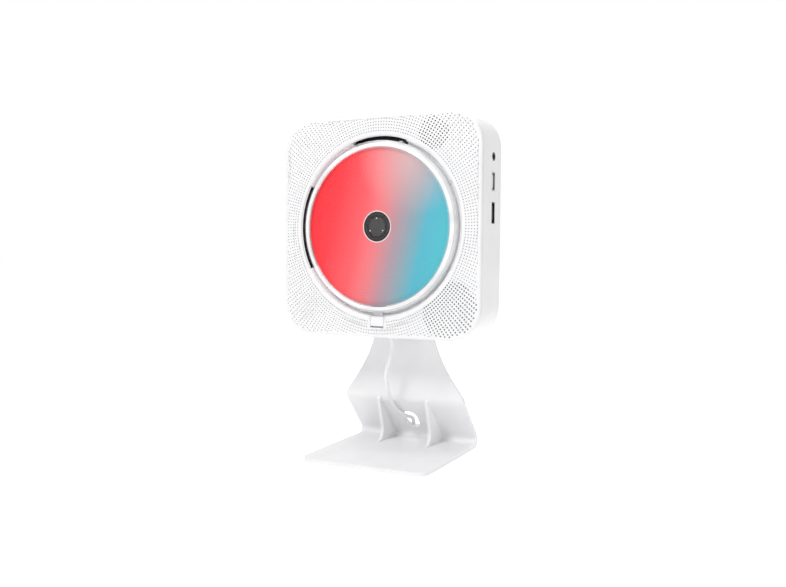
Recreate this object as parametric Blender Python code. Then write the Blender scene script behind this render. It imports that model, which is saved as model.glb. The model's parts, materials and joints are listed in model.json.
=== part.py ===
"""A square disc player with a clear dust cover, hooked on a one-piece bent desk stand.

Frame: metres, +Z up, -Y towards the listener, origin on the table under the middle of the stand.
The player's own pieces are drawn in plan, as seen face on: x to the right, y up the face and z out
of the face towards the listener, with z = 0 on the face. One empty, tilted back, carries that plan.
"""

import math

import bmesh
import bpy
import numpy as np
from mathutils import Vector

# Clearances between pieces that touch or pass each other
GAP = 0.0003
OVERRUN = 0.002
SINK = 0.0006

# Player case
FACE_WIDTH = 0.168
FACE_CENTRE_HEIGHT = 0.1783
FACE_CENTRE_Y = -0.0172
TILT = math.radians(2.5)
CASE_DEPTH = 0.0386
CASE_WALL = 0.0022
CORNER_RADIUS = 0.025
CORNER_STEPS = 8
PANEL_THICKNESS = 0.0030
PANEL_EDGE_RADIUS = 0.0020
REAR_EDGE_RADIUS = 0.0015
EDGE_STEPS = 3
REAR_COVER_THICKNESS = 0.0024
PLINTH_SIZE = 0.090
PLINTH_CORNER = 0.014
PLINTH_HEIGHT = 0.0056
SCREW_X = 0.0386
SCREW_EDGE_DISTANCE = 0.0082
SCREW_BOSS_RADIUS = 0.0032
SCREW_HEAD_RADIUS = 0.0028
SCREW_HEAD_FLAT_SHARE = 0.6
SCREW_HEAD_HEIGHT = 0.0016
SCREW_SHANK_RADIUS = 0.0013
SCREW_LENGTH = 0.0090
SCREW_BORE_LENGTH = 0.0100

# Round opening with its dished edge, and the recesses cut beside it
OPENING_RADIUS = 0.0667
DISH_RADIUS = 0.0041
DISH_STEPS = 6
LIP_DEPTH = 0.0049
LIP_WIDTH = 0.0014
ROUND_STEPS = 48
SMALL_ROUND_STEPS = 12
RECESS_INNER_RADIUS = 0.0618
SIDE_RECESS_OUTER_RADIUS = 0.0690
SIDE_RECESS_HALF_ANGLE = math.radians(28)
TOP_RECESS_OUTER_RADIUS = 0.0682
TOP_RECESS_HALF_ANGLE = math.radians(20)

# Perforations over the two speakers: rings about the disc's centre
HOLE_RING_PITCH = 0.0044
HOLE_FIRST_RING = 0.0744
HOLES_PER_RING = 108
HOLE_WIDTH = 0.0011

# Speakers in the two lower corners
SPEAKER_PLACE = 0.0630
SPEAKER_RADIUS = 0.0160
SPEAKER_FLANGE_THICKNESS = 0.0014
SPEAKER_HOLE_FIELD = 0.0125
SPEAKER_MOUTH_RADIUS = 0.0126
SPEAKER_MAGNET_RADIUS = 0.0092
SPEAKER_WELL_RADIUS = 0.0060
SPEAKER_WELL_DEPTH = 0.0050
SPEAKER_DEPTH = 0.0120
CONE_CAP_RADIUS = 0.0032
CONE_CAP_HEIGHT = 0.0012
CONE_THICKNESS = 0.0005

# Disc
DISC_RADIUS = 0.060
DISC_THICKNESS = 0.0012
DISC_FRONT = 0.0010
DISC_HOLE_RADIUS = 0.0075

# Clear cover
COVER_RADIUS = 0.0652
COVER_FRONT = 0.0044
COVER_WALL = 0.0015
COVER_SHOULDER = 0.0050
COVER_SHOULDER_STEPS = 5
COVER_REAR = -0.0046
COVER_TAB_WIDTH = 0.0080
COVER_TAB_FRONT = -0.0016
COVER_TAB_THICKNESS = 0.0016

# Pan under the disc
PAN_FLOOR_FRONT = -0.0022
PAN_WALL = 0.0020
PAN_HOLE_RADIUS = 0.0166
PAN_RIB_WIDTH = 0.0016
PAN_RIB_DEPTH = 0.0080
PAN_FLANGE_RADIUS = 0.0712
PICKUP_SLOT_WIDTH = 0.0140
PAN_POST_RADIUS = 0.0030

# Cover hinge and its gooseneck arms
HINGE_UP = 0.0722
HINGE_DEPTH = 0.0062
HINGE_PIN_RADIUS = 0.0011
HINGE_PIN_HALF_LENGTH = 0.0268
ARM_PLACE = 0.0175
ARM_WIDTH = 0.0030
ARM_THICKNESS = 0.0028
ARM_EYE_RADIUS = 0.0026
ARM_SWEEP_RADIUS = 0.0106
ARM_RIM_ANGLE = math.radians(68)
ARM_STEPS = 7
HINGE_POST_PLACE = 0.0246
HINGE_POST_WIDTH = 0.0036
HINGE_POST_HEIGHT = 0.0056

# Latch under the cover
LATCH_WIDTH = 0.0108
LATCH_TOP = -0.06775
LATCH_BOTTOM = -0.07515
LATCH_TRAVEL = 0.0010
LATCH_FLANGE_TOP = -0.0719
LATCH_FLANGE_MARGIN = 0.0022
LATCH_FLANGE_THICKNESS = 0.0016

# Spindle
TURNTABLE_RADIUS = 0.0152
TURNTABLE_THICKNESS = 0.0020
TURNTABLE_BOSS_RADIUS = 0.0040
HUB_RADIUS = 0.0072
HUB_FRONT = 0.0022
HUB_CHAMFER = 0.0012
BALL_RADIUS = 0.0010
BALL_PLACE = 0.0061
BALL_FRONT = 0.0021
BALL_COUNT = 3
BALL_STEPS = 8
SHAFT_RADIUS = 0.0010
SPINDLE_MOTOR_RADIUS = 0.0120
SPINDLE_MOTOR_FRONT = -0.0060

# Deck: chassis plate behind the mechanism, with posts for the rods
CHASSIS_FRONT = -0.0156
CHASSIS_THICKNESS = 0.0016
CHASSIS_LEFT = -0.0465
CHASSIS_RIGHT = 0.0340
CHASSIS_BOTTOM = -0.0712
CHASSIS_TOP = 0.0330
CHASSIS_CORNER = 0.0040
CHASSIS_WINDOW_WIDTH = 0.0200
CHASSIS_WINDOW_MARGIN = 0.0030
ROD_RADIUS = 0.0014
ROD_SPACING = 0.0260
ROD_DEPTH = 0.0101
ROD_POST_WIDTH = 0.0048
ROD_POST_LENGTH = 0.0030
ROD_POST_CAP = 0.0010

# Pickup sled with its lens and rack
SLED_WIDTH = 0.0320
SLED_LENGTH = 0.0180
SLED_FRONT = -0.0076
SLED_REAR = -0.0126
SLED_WAIST_WIDTH = 0.0200
SLED_WAIST_LENGTH = 0.0140
SLED_FORK_LENGTH = 0.0080
LENS_START = 0.0250
SLED_TRAVEL = 0.0330
LENS_HOLDER_RADIUS = 0.0039
LENS_HOLDER_FRONT = -0.0016
LENS_BLOCK_WIDTH = 0.0124
LENS_BLOCK_FRONT = -0.0050
LENS_RADIUS = 0.0024
LENS_THICKNESS = 0.0014
LENS_DOME = 0.0006
RACK_PITCH_LINE = -0.0195
RACK_TOP = 0.0060
RACK_LENGTH = 0.0420
RACK_FRONT = -0.0084
RACK_THICKNESS = 0.0036

# Gears of the sled's drive
TOOTH_MODULE = 0.0010
BIG_TOOTH_MODULE = 0.0008
ADDENDUM_SHARE = 0.90
DEDENDUM_SHARE = 1.20
TOOTH_ROOT_SHARE = 0.34
TOOTH_TIP_SHARE = 0.13
PINION_TEETH = 12
FEED_TEETH = 30
MOTOR_TEETH = 10
GEAR_UP = -0.0320
FEED_FRONT = -0.0131
FEED_THICKNESS = 0.0020
GEAR_AXLE_RADIUS = 0.0010
FEED_MOTOR_ANGLE = math.radians(135)
FEED_MOTOR_RADIUS = 0.0075
FEED_MOTOR_LENGTH = 0.0090
FEED_MOTOR_SHAFT_RADIUS = 0.0008
FEED_MOTOR_SHAFT_LENGTH = 0.0076

# Rubber mounts between the pan and the chassis
DAMPER_RADIUS = 0.0040
DAMPER_WAIST_RADIUS = 0.0030
DAMPER_WAIST_SHARE = 0.35
DAMPER_TOP_X = 0.0280
DAMPER_TOP_UP = 0.0270
DAMPER_BOTTOM_X = 0.0248
DAMPER_BOTTOM_UP = -0.0496
DAMPER_LENGTH = 0.0064

# Main board
BOARD_THICKNESS = 0.0016
BOARD_FRONT = -0.0264
BOARD_LEFT = -0.0180
BOARD_RIGHT = 0.0780
BOARD_BOTTOM = -0.0060
BOARD_TOP = 0.0660
BOARD_CORNER = 0.0020
BOARD_POST_RADIUS = 0.0026
BOARD_POST_MARGIN = 0.0045
CHIP_SIZE = 0.0140
CHIP_THICKNESS = 0.0016
CHIP_X = 0.0160
CHIP_UP = 0.0300
CAN_RADIUS = 0.0040
CAN_LENGTH = 0.0080
CAN_COUNT = 3
CAN_PITCH = 0.0110
CAN_X = 0.0100
CAN_UP = 0.0560

# Side sockets
PORT_DEPTH = 0.0227
JACK_UP = 0.0511
JACK_RADIUS = 0.0031
JACK_BORE_RADIUS = 0.0018
JACK_BODY_WIDTH = 0.0074
JACK_LENGTH = 0.0120
USB_UP = 0.0330
USB_WIDTH = 0.0134
USB_HEIGHT = 0.0058
USB_LENGTH = 0.0130
HDMI_UP = 0.0100
HDMI_WIDTH = 0.0152
HDMI_HEIGHT = 0.0056
HDMI_LENGTH = 0.0110
SOCKET_SHELL = 0.0006
SOCKET_BACK = 0.0020
SOCKET_TONGUE_WIDTH_SHARE = 0.70
SOCKET_TONGUE_HEIGHT_SHARE = 0.25

# Buttons on the left side, with the board that they press on
BUTTON_COUNT = 5
BUTTON_PITCH = 0.0160
BUTTON_FIRST_UP = 0.0500
BUTTON_WIDTH = 0.0100
BUTTON_HEIGHT = 0.0050
BUTTON_END_STEPS = 6
BUTTON_PROUD = 0.0005
BUTTON_TRAVEL = 0.0006
BUTTON_FLANGE_THICKNESS = 0.0012
BUTTON_FLANGE_MARGIN = 0.0012
BUTTON_STEM_WIDTH = 0.0022
SWITCH_SIZE = 0.0044
SWITCH_THICKNESS = 0.0016
BUTTON_BOARD_DISTANCE = 0.0064
BUTTON_BOARD_WIDTH = 0.0120
BUTTON_BOARD_MARGIN = 0.0060
BRACKET_THICKNESS = 0.0020

# Desk stand: one bent sheet, two ribs and a hook
STAND_THICKNESS = 0.0032
STAND_WIDTH = 0.1060
STAND_FRONT = -0.0500
STAND_CORNER_RADIUS = 0.0100
STAND_CORNER_STEPS = 6
LOWER_LEAN = math.radians(39.5)
CREST_HEIGHT = 0.0398
REAR_BEND_RADIUS = 0.0054
REAR_BEND_STEPS = 10
CREST_BEND_RADIUS = 0.0090
CREST_BEND_STEPS = 5
WAIST_HALF_WIDTH = 0.0231
WAIST_ABOVE_CREST = 0.0730
TAPER_START = 0.0038
TAPER_SOFTNESS = 0.0010
TAPER_STEPS = 12
PANEL_TOP_UP = 0.0120
PANEL_TOP_CORNER = 0.0080
CORD_HOLE_HEIGHT = 0.0214
CORD_HOLE_WIDTH = 0.0125
CORD_HOLE_LENGTH = 0.0200
RIB_PLACE = 0.0215
RIB_THICKNESS = 0.0026
STUD_RADIUS = 0.0020
STUD_HEAD_RADIUS = 0.0036
STUD_HEAD_THICKNESS = 0.0014
KEYHOLE_DROP = 0.0080

# A rib's free edge, from the crest down to the base: shares of the lower panel's reach and height
RIB_EDGE_SHARES = (
    (-0.035, 1.03),
    (-0.11, 0.97),
    (-0.065, 0.84),
    (-0.02, 0.70),
    (0.045, 0.515),
    (0.085, 0.39),
    (0.09, 0.32),
    (0.05, 0.20),
    (-0.03, 0.135),
    (-0.14, 0.10),
    (-0.27, 0.06),
)

# Power cord: its free route by hand, its coil by formula
CORD_DIAMETER = 0.0030
CORD_STEP = 0.0055
GROMMET_DEPTH = 0.0250
GROMMET_NECK_RADIUS = 0.0035
GROMMET_FLANGE_RADIUS = 0.0050
GROMMET_FLANGE_THICKNESS = 0.0012
GROMMET_NOSE_BASE_RADIUS = 0.0031
GROMMET_NOSE_RADIUS = 0.0022
GROMMET_NOSE_LENGTH = 0.0030
COIL_CENTRE_X = 0.0103
COIL_CENTRE_Y = 0.0780
COIL_OUTER_RADIUS = 0.0195
COIL_INNER_RADIUS = 0.0115
COIL_FIRST_HEIGHT = 0.00155
COIL_LAYER_PITCH = 0.0040
COIL_LAYERS = 4
COIL_TURNS_PER_LAYER = 2
COIL_CLIMB_TURNS = 0.5
COIL_POINTS_PER_TURN = 24
COIL_LEAD = 0.0035
PLUG_BODY_LENGTH = 0.0240
PLUG_BODY_WIDTH = 0.0150
PLUG_BODY_HEIGHT = 0.0080
PLUG_EDGE_RADIUS = 0.0014
PLUG_SHELL_LENGTH = 0.0120
PLUG_SHELL_WIDTH = 0.0120
PLUG_SHELL_HEIGHT = 0.0045
PLUG_X = 0.0142
PLUG_Y = 0.0707
PLUG_HEIGHT = 0.01935
PLUG_HEADING = math.radians(135)

# Route of the cord from the grommet through the stand's hole to the coil: x, y, z
CORD_ROUTE = (
    (0.0000, 0.0039, 0.0898),
    (-0.0001, 0.0038, 0.0868),
    (-0.0011, 0.0036, 0.0800),
    (-0.0030, 0.0032, 0.0712),
    (-0.0048, 0.0034, 0.0655),
    (-0.0060, 0.0046, 0.0590),
    (-0.0063, 0.0076, 0.0512),
    (-0.0071, 0.0120, 0.0435),
    (-0.0080, 0.0182, 0.0371),
    (-0.0083, 0.0254, 0.0308),
    (-0.0060, 0.0285, 0.0273),
    (-0.0036, 0.0312, 0.0250),
    (-0.0024, 0.0350, 0.0232),
    (-0.0020, 0.0395, 0.0219),
    (-0.0024, 0.0436, 0.0198),
    (-0.0034, 0.0474, 0.0164),
    (-0.0046, 0.0508, 0.0122),
    (-0.0060, 0.0544, 0.0080),
    (-0.0076, 0.0584, 0.0044),
    (-0.0088, 0.0634, 0.0022),
    (-0.0092, 0.0690, 0.0016),
    (-0.0092, 0.0742, 0.00155),
)

# Route of the cord from the end of the coil to the plug that lies on it: x, y, z
TAIL_ROUTE = (
    (0.0298, 0.0742, 0.01355),
    (0.0298, 0.0726, 0.01362),
    (0.0291, 0.0702, 0.0145),
    (0.0276, 0.0682, 0.0159),
    (0.0253, 0.0669, 0.0174),
    (0.0224, 0.0664, 0.0186),
    (0.0193, 0.0669, 0.01925),
    (0.01653, 0.06837, 0.01935),
    (0.01441, 0.07049, 0.01935),
)

HALF_FACE = FACE_WIDTH / 2
INSIDE = HALF_FACE - CASE_WALL
OUTWARD = Vector((0.0, -math.cos(TILT), math.sin(TILT)))
UPWARD = Vector((0.0, math.sin(TILT), math.cos(TILT)))
FACE_CENTRE = Vector((0.0, FACE_CENTRE_Y, FACE_CENTRE_HEIGHT))
PANEL_REAR = -PANEL_THICKNESS
PAN_REAR = PAN_FLOOR_FRONT - PAN_WALL - PAN_RIB_DEPTH
GROOVE_FRONT = -LIP_DEPTH - GAP
DAMPER_FRONT = CHASSIS_FRONT + GAP + DAMPER_LENGTH
PLINTH_REAR = -CASE_DEPTH - PLINTH_HEIGHT
STAND_PANEL_MIDDLE = PLINTH_REAR - GAP - STAND_THICKNESS / 2
PINION_RADIUS = PINION_TEETH * TOOTH_MODULE / 2
GEAR_X = RACK_PITCH_LINE - PINION_RADIUS
MOTOR_DISTANCE = (FEED_TEETH + MOTOR_TEETH) * BIG_TOOTH_MODULE / 2
MOTOR_X = GEAR_X + MOTOR_DISTANCE * math.cos(FEED_MOTOR_ANGLE)
MOTOR_UP = GEAR_UP + MOTOR_DISTANCE * math.sin(FEED_MOTOR_ANGLE)
QUARTER = math.pi / 2


def clear_scene():
    for thing in list(bpy.data.objects):
        bpy.data.objects.remove(thing, do_unlink=True)


def material(name, colour, roughness, metallic=0.0, alpha=1.0):
    """A plain Principled finish."""
    finish = bpy.data.materials.new(name)
    finish.use_nodes = True
    shader = finish.node_tree.nodes["Principled BSDF"]
    shader.inputs["Base Color"].default_value = (*colour, 1.0)
    shader.inputs["Roughness"].default_value = roughness
    shader.inputs["Metallic"].default_value = metallic
    shader.inputs["Alpha"].default_value = alpha
    finish.diffuse_color = (*colour, alpha)
    return finish


def white_plastic(name):
    return material(name, (0.90, 0.90, 0.90), 0.45)


def dark_plastic(name):
    return material(name, (0.03, 0.03, 0.03), 0.50)


def bright_metal(name):
    return material(name, (0.75, 0.75, 0.76), 0.25, metallic=1.0)


def circuit_board(name):
    return material(name, (0.05, 0.22, 0.10), 0.50)


def empty(name, place, turn=(0.0, 0.0, 0.0), parent=None):
    frame = bpy.data.objects.new(name, None)
    bpy.context.scene.collection.objects.link(frame)
    frame.location = place
    frame.rotation_euler = turn
    frame.parent = parent
    return frame


def added(name, shape, finish=None, parent=None, place=(0.0, 0.0, 0.0), turn=(0.0, 0.0, 0.0)):
    """The object made from a bmesh, in the scene, at its place under its parent."""
    mesh = bpy.data.meshes.new(name)
    bmesh.ops.recalc_face_normals(shape, faces=shape.faces)
    shape.to_mesh(mesh)
    shape.free()
    piece = bpy.data.objects.new(name, mesh)
    bpy.context.scene.collection.objects.link(piece)
    if finish is not None:
        mesh.materials.append(finish)
    piece.parent = parent
    piece.location = place
    piece.rotation_euler = turn
    return piece


def smooth(piece, angle=math.radians(35)):
    piece.data.shade_smooth()
    piece.data.set_sharp_from_angle(angle=angle)
    return piece


def boolean(piece, other, operation):
    other.hide_render = True
    other.display_type = "WIRE"
    step = piece.modifiers.new(operation.lower() + "_" + other.name, "BOOLEAN")
    step.operation = operation
    step.solver = "EXACT"
    step.object = other


def cut(piece, *cutters):
    for cutter in cutters:
        boolean(piece, cutter, "DIFFERENCE")
    return piece


def joined(piece, *adders):
    for adder in adders:
        boolean(piece, adder, "UNION")
    return piece


def block_shape(low, high):
    """A box between two corners."""
    shape = bmesh.new()
    bmesh.ops.create_cube(shape, size=1.0)
    low, high = Vector(low), Vector(high)
    bmesh.ops.scale(shape, vec=high - low, verts=shape.verts)
    bmesh.ops.translate(shape, vec=(low + high) / 2, verts=shape.verts)
    return shape


def block(name, low, high, finish=None, parent=None):
    return added(name, block_shape(low, high), finish, parent)


def rod_shape(radius, start, end, steps=SMALL_ROUND_STEPS):
    """A straight round rod between two points."""
    shape = bmesh.new()
    start, end = Vector(start), Vector(end)
    along = end - start
    bmesh.ops.create_cone(
        shape, cap_ends=True, segments=steps, radius1=radius, radius2=radius, depth=along.length
    )
    turn = Vector((0.0, 0.0, 1.0)).rotation_difference(along).to_matrix()
    bmesh.ops.rotate(shape, matrix=turn, verts=shape.verts)
    bmesh.ops.translate(shape, vec=(start + end) / 2, verts=shape.verts)
    return shape


def rod(name, radius, start, end, finish=None, parent=None, steps=SMALL_ROUND_STEPS):
    return smooth(added(name, rod_shape(radius, start, end, steps), finish, parent))


def extruded_shape(corners, step):
    """A flat ring of corners, closed by a face and extruded by a step."""
    shape = bmesh.new()
    face = shape.faces.new([shape.verts.new(corner) for corner in corners])
    grown = bmesh.ops.extrude_face_region(shape, geom=[face])
    moved = [item for item in grown["geom"] if isinstance(item, bmesh.types.BMVert)]
    bmesh.ops.translate(shape, vec=step, verts=moved)
    return shape


def slab_shape(outline, low, high):
    """An outline of (x, y), extruded between two heights."""
    return extruded_shape([(x, y, low) for x, y in outline], (0.0, 0.0, high - low))


def slab(name, outline, low, high, finish=None, parent=None, place=(0.0, 0.0, 0.0), turn=(0.0, 0.0, 0.0)):
    return added(name, slab_shape(outline, low, high), finish, parent, place, turn)


def sideways_slab(name, outline, low_x, high_x, finish=None, parent=None):
    """An outline of (y, z), extruded along x."""
    shape = extruded_shape([(low_x, y, z) for y, z in outline], (high_x - low_x, 0.0, 0.0))
    return added(name, shape, finish, parent)


def turned(name, profile, finish=None, parent=None, place=(0.0, 0.0, 0.0), turn=(0.0, 0.0, 0.0), steps=24):
    """A profile of (radius, height) turned about z: from the axis to the axis, or closed off it."""
    shape = bmesh.new()
    corners = [shape.verts.new((radius, 0.0, height)) for radius, height in profile]
    for first, second in zip(corners, corners[1:]):
        shape.edges.new((first, second))
    if profile[0][0] > 0.0:
        shape.edges.new((corners[-1], corners[0]))
    piece = added(name, shape, finish, parent, place, turn)
    screw = piece.modifiers.new("turn", "SCREW")
    screw.angle = math.tau
    screw.steps = steps
    screw.render_steps = steps
    screw.use_merge_vertices = True
    screw.merge_threshold = 0.00001
    screw.use_smooth_shade = True
    return piece


def arc(centre_x, centre_y, radius, start, end, steps):
    """Points on an arc, both ends included."""
    angles = np.linspace(start, end, steps + 1)
    return [(centre_x + radius * math.cos(a), centre_y + radius * math.sin(a)) for a in angles]


def rounded_rectangle(low_x, low_y, high_x, high_y, radius, steps=CORNER_STEPS):
    """The outline of a rectangle with round corners, counter-clockwise."""
    return (
        arc(high_x - radius, high_y - radius, radius, 0.0, QUARTER, steps)
        + arc(low_x + radius, high_y - radius, radius, QUARTER, 2 * QUARTER, steps)
        + arc(low_x + radius, low_y + radius, radius, 2 * QUARTER, 3 * QUARTER, steps)
        + arc(high_x - radius, low_y + radius, radius, 3 * QUARTER, 4 * QUARTER, steps)
    )


def rounded_square(half, radius):
    return rounded_rectangle(-half, -half, half, half, radius)


def ring_sector(inner, outer, middle, half_angle, steps=10):
    """The outline of a piece of a ring, centred on an angle."""
    out = arc(0.0, 0.0, outer, middle - half_angle, middle + half_angle, steps)
    back = arc(0.0, 0.0, inner, middle + half_angle, middle - half_angle, steps)
    return out + back


def round_ended_bar(centre_x, centre_y, length, width, steps):
    """The outline of a bar along x with half-round ends."""
    run = (length - width) / 2
    right = arc(centre_x + run, centre_y, width / 2, -QUARTER, QUARTER, steps)
    left = arc(centre_x - run, centre_y, width / 2, QUARTER, 3 * QUARTER, steps)
    return right + left


def edge_rounded_slab_shape(outline, low, high, edge_at, radius):
    """A slab whose whole rim is rounded over at one of its two faces."""
    shape = slab_shape(outline, low, high)
    rim = [e for e in shape.edges if all(abs(v.co.z - edge_at) < radius / 2 for v in e.verts)]
    bmesh.ops.bevel(shape, geom=rim, offset=radius, segments=EDGE_STEPS, profile=0.5, affect="EDGES")
    return shape


def recess_cutter(name, middle, half_angle, outer, parent):
    outline = ring_sector(RECESS_INNER_RADIUS, outer, middle, half_angle)
    return slab("cutter_recess_" + name, outline, PAN_REAR - OVERRUN, OVERRUN, None, parent)


def recess_cutters(owner, top_outer, parent):
    """The recesses round the cover: a finger recess at each side and the hinge's recess at the top."""
    side_half, side_outer = SIDE_RECESS_HALF_ANGLE, SIDE_RECESS_OUTER_RADIUS
    return [
        recess_cutter(owner + "_right", 0.0, side_half, side_outer, parent),
        recess_cutter(owner + "_left", math.pi, side_half, side_outer, parent),
        recess_cutter(owner + "_top", QUARTER, TOP_RECESS_HALF_ANGLE, top_outer, parent),
    ]


def dish_curve(start_radius):
    """The dished edge in section, from a radius out to the face: (radius, height)."""
    outer = OPENING_RADIUS + DISH_RADIUS
    start = math.acos(max((start_radius - outer) / DISH_RADIUS, -1.0))
    return arc(outer, -DISH_RADIUS, DISH_RADIUS, start, QUARTER, DISH_STEPS)


def opening_cutter(parent):
    """What the round opening takes out: a plug with a flared top, turned about the disc's axis."""
    flare = list(reversed(dish_curve(OPENING_RADIUS)))
    rear = -LIP_DEPTH - OVERRUN
    profile = [(0.0, OVERRUN), (flare[0][0], OVERRUN)] + flare + [(OPENING_RADIUS, rear), (0.0, rear)]
    return turned("cutter_opening", profile, None, parent, steps=ROUND_STEPS)


def speaker_holes():
    """Places and angles of the perforations over the right speaker, on rings about the disc's centre."""
    places = []
    farthest = math.hypot(SPEAKER_PLACE, SPEAKER_PLACE) + SPEAKER_HOLE_FIELD
    rings = math.ceil((farthest - HOLE_FIRST_RING) / HOLE_RING_PITCH)
    for ring in range(rings):
        radius = HOLE_FIRST_RING + ring * HOLE_RING_PITCH
        for number in range(HOLES_PER_RING // 4):
            angle = -(number + ring % 2 / 2) * math.tau / HOLES_PER_RING
            x, y = radius * math.cos(angle), radius * math.sin(angle)
            if math.hypot(x - SPEAKER_PLACE, y + SPEAKER_PLACE) < SPEAKER_HOLE_FIELD:
                places.append((x, y, angle))
    return places


def perforation_cutter(parent):
    """Every perforation as a small square bar through the front panel, in one cutter."""
    shape = bmesh.new()
    half = HOLE_WIDTH / 2
    for side in (1, -1):
        for x, y, angle in speaker_holes():
            turns = [side * angle + step * QUARTER for step in range(4)]
            corners = [(side * x + half * math.cos(t), y + half * math.sin(t)) for t in turns]
            low = [shape.verts.new((a, b, PANEL_REAR - OVERRUN)) for a, b in corners]
            high = [shape.verts.new((a, b, OVERRUN)) for a, b in corners]
            shape.faces.new(low[::-1])
            shape.faces.new(high)
            for first in range(4):
                second = (first + 1) % 4
                shape.faces.new((low[first], low[second], high[second], high[first]))
    return added("cutter_perforations", shape, None, parent)


def hinge_rod_shape(radius, extra=0.0):
    half = HINGE_PIN_HALF_LENGTH + extra
    return rod_shape(radius, (-half, HINGE_UP, -HINGE_DEPTH), (half, HINGE_UP, -HINGE_DEPTH))


def front_panel(parent):
    """The perforated front: rolled outer edge, dished opening, latch slot and hinge posts behind."""
    outline = rounded_square(HALF_FACE, CORNER_RADIUS)
    shape = edge_rounded_slab_shape(outline, PANEL_REAR, 0.0, 0.0, PANEL_EDGE_RADIUS)
    panel = added("front_panel", shape, white_plastic("front_panel_white"), parent)
    lip_radius = OPENING_RADIUS + LIP_WIDTH
    lip_front = PANEL_REAR + SINK
    lip = rod("adder_lip", lip_radius, (0, 0, -LIP_DEPTH), (0, 0, lip_front), None, parent, ROUND_STEPS)
    joined(panel, lip)
    for side in (1, -1):
        low_x = side * HINGE_POST_PLACE - HINGE_POST_WIDTH / 2
        low_y = HINGE_UP - HINGE_POST_HEIGHT / 2
        low = (low_x, low_y, -HINGE_DEPTH - HINGE_POST_HEIGHT / 2)
        high = (low_x + HINGE_POST_WIDTH, low_y + HINGE_POST_HEIGHT, lip_front)
        joined(panel, block("adder_hinge_post_%d" % side, low, high, None, parent))
    eye = added("cutter_hinge_eye", hinge_rod_shape(HINGE_PIN_RADIUS + GAP, GAP), None, parent)
    half_slot = LATCH_WIDTH / 2 + GAP
    slot_low = (-half_slot, LATCH_BOTTOM - LATCH_TRAVEL - GAP, -LIP_DEPTH - OVERRUN)
    slot = block("cutter_latch_slot", slot_low, (half_slot, LATCH_TOP + GAP, OVERRUN), None, parent)
    half_notch = COVER_TAB_WIDTH / 2 + GAP
    notch_low = (-half_notch, LATCH_TOP, -LIP_DEPTH - OVERRUN)
    notch_high = (half_notch, -OPENING_RADIUS + OVERRUN, OVERRUN)
    notch = block("cutter_tab_notch", notch_low, notch_high, None, parent)
    recesses = recess_cutters("panel", TOP_RECESS_OUTER_RADIUS, parent)
    cut(panel, opening_cutter(parent), eye, slot, notch, *recesses, perforation_cutter(parent))
    return smooth(panel)


def screw_places():
    up = HALF_FACE - SCREW_EDGE_DISTANCE
    return [(side * SCREW_X, end * up) for side in (1, -1) for end in (1, -1)]


def socket_holes(parent):
    """Holes in the right wall, each a little wider than its socket's mouth."""
    low_x = INSIDE - OVERRUN
    high_x = HALF_FACE + OVERRUN
    low, high = (low_x, JACK_UP, -PORT_DEPTH), (high_x, JACK_UP, -PORT_DEPTH)
    cutters = [rod("cutter_jack", JACK_RADIUS + GAP, low, high, None, parent)]
    for name, up, width, height in (
        ("usb", USB_UP, USB_WIDTH, USB_HEIGHT),
        ("hdmi", HDMI_UP, HDMI_WIDTH, HDMI_HEIGHT),
    ):
        low = (low_x, up - width / 2 - GAP, -PORT_DEPTH - height / 2 - GAP)
        high = (high_x, up + width / 2 + GAP, -PORT_DEPTH + height / 2 + GAP)
        cutters.append(block("cutter_" + name, low, high, None, parent))
    return cutters


def button_ups():
    return [BUTTON_FIRST_UP - number * BUTTON_PITCH for number in range(BUTTON_COUNT)]


def button_outline(up, margin=0.0):
    length = BUTTON_WIDTH + 2 * margin
    return round_ended_bar(up, -PORT_DEPTH, length, BUTTON_HEIGHT + 2 * margin, BUTTON_END_STEPS)


def button_holes(parent):
    low_x, high_x = -HALF_FACE - OVERRUN, -INSIDE + OVERRUN
    return [
        sideways_slab("cutter_button_%d" % number, button_outline(up, GAP), low_x, high_x, None, parent)
        for number, up in enumerate(button_ups())
    ]


def button_board_span():
    """Where the button board lies: its two ends up the face, then its outer and inner x."""
    bottom = button_ups()[-1] - BUTTON_BOARD_MARGIN
    top = BUTTON_FIRST_UP + BUTTON_BOARD_MARGIN
    outer_x = -INSIDE + BUTTON_BOARD_DISTANCE
    return bottom, top, outer_x, outer_x + BOARD_THICKNESS


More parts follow.
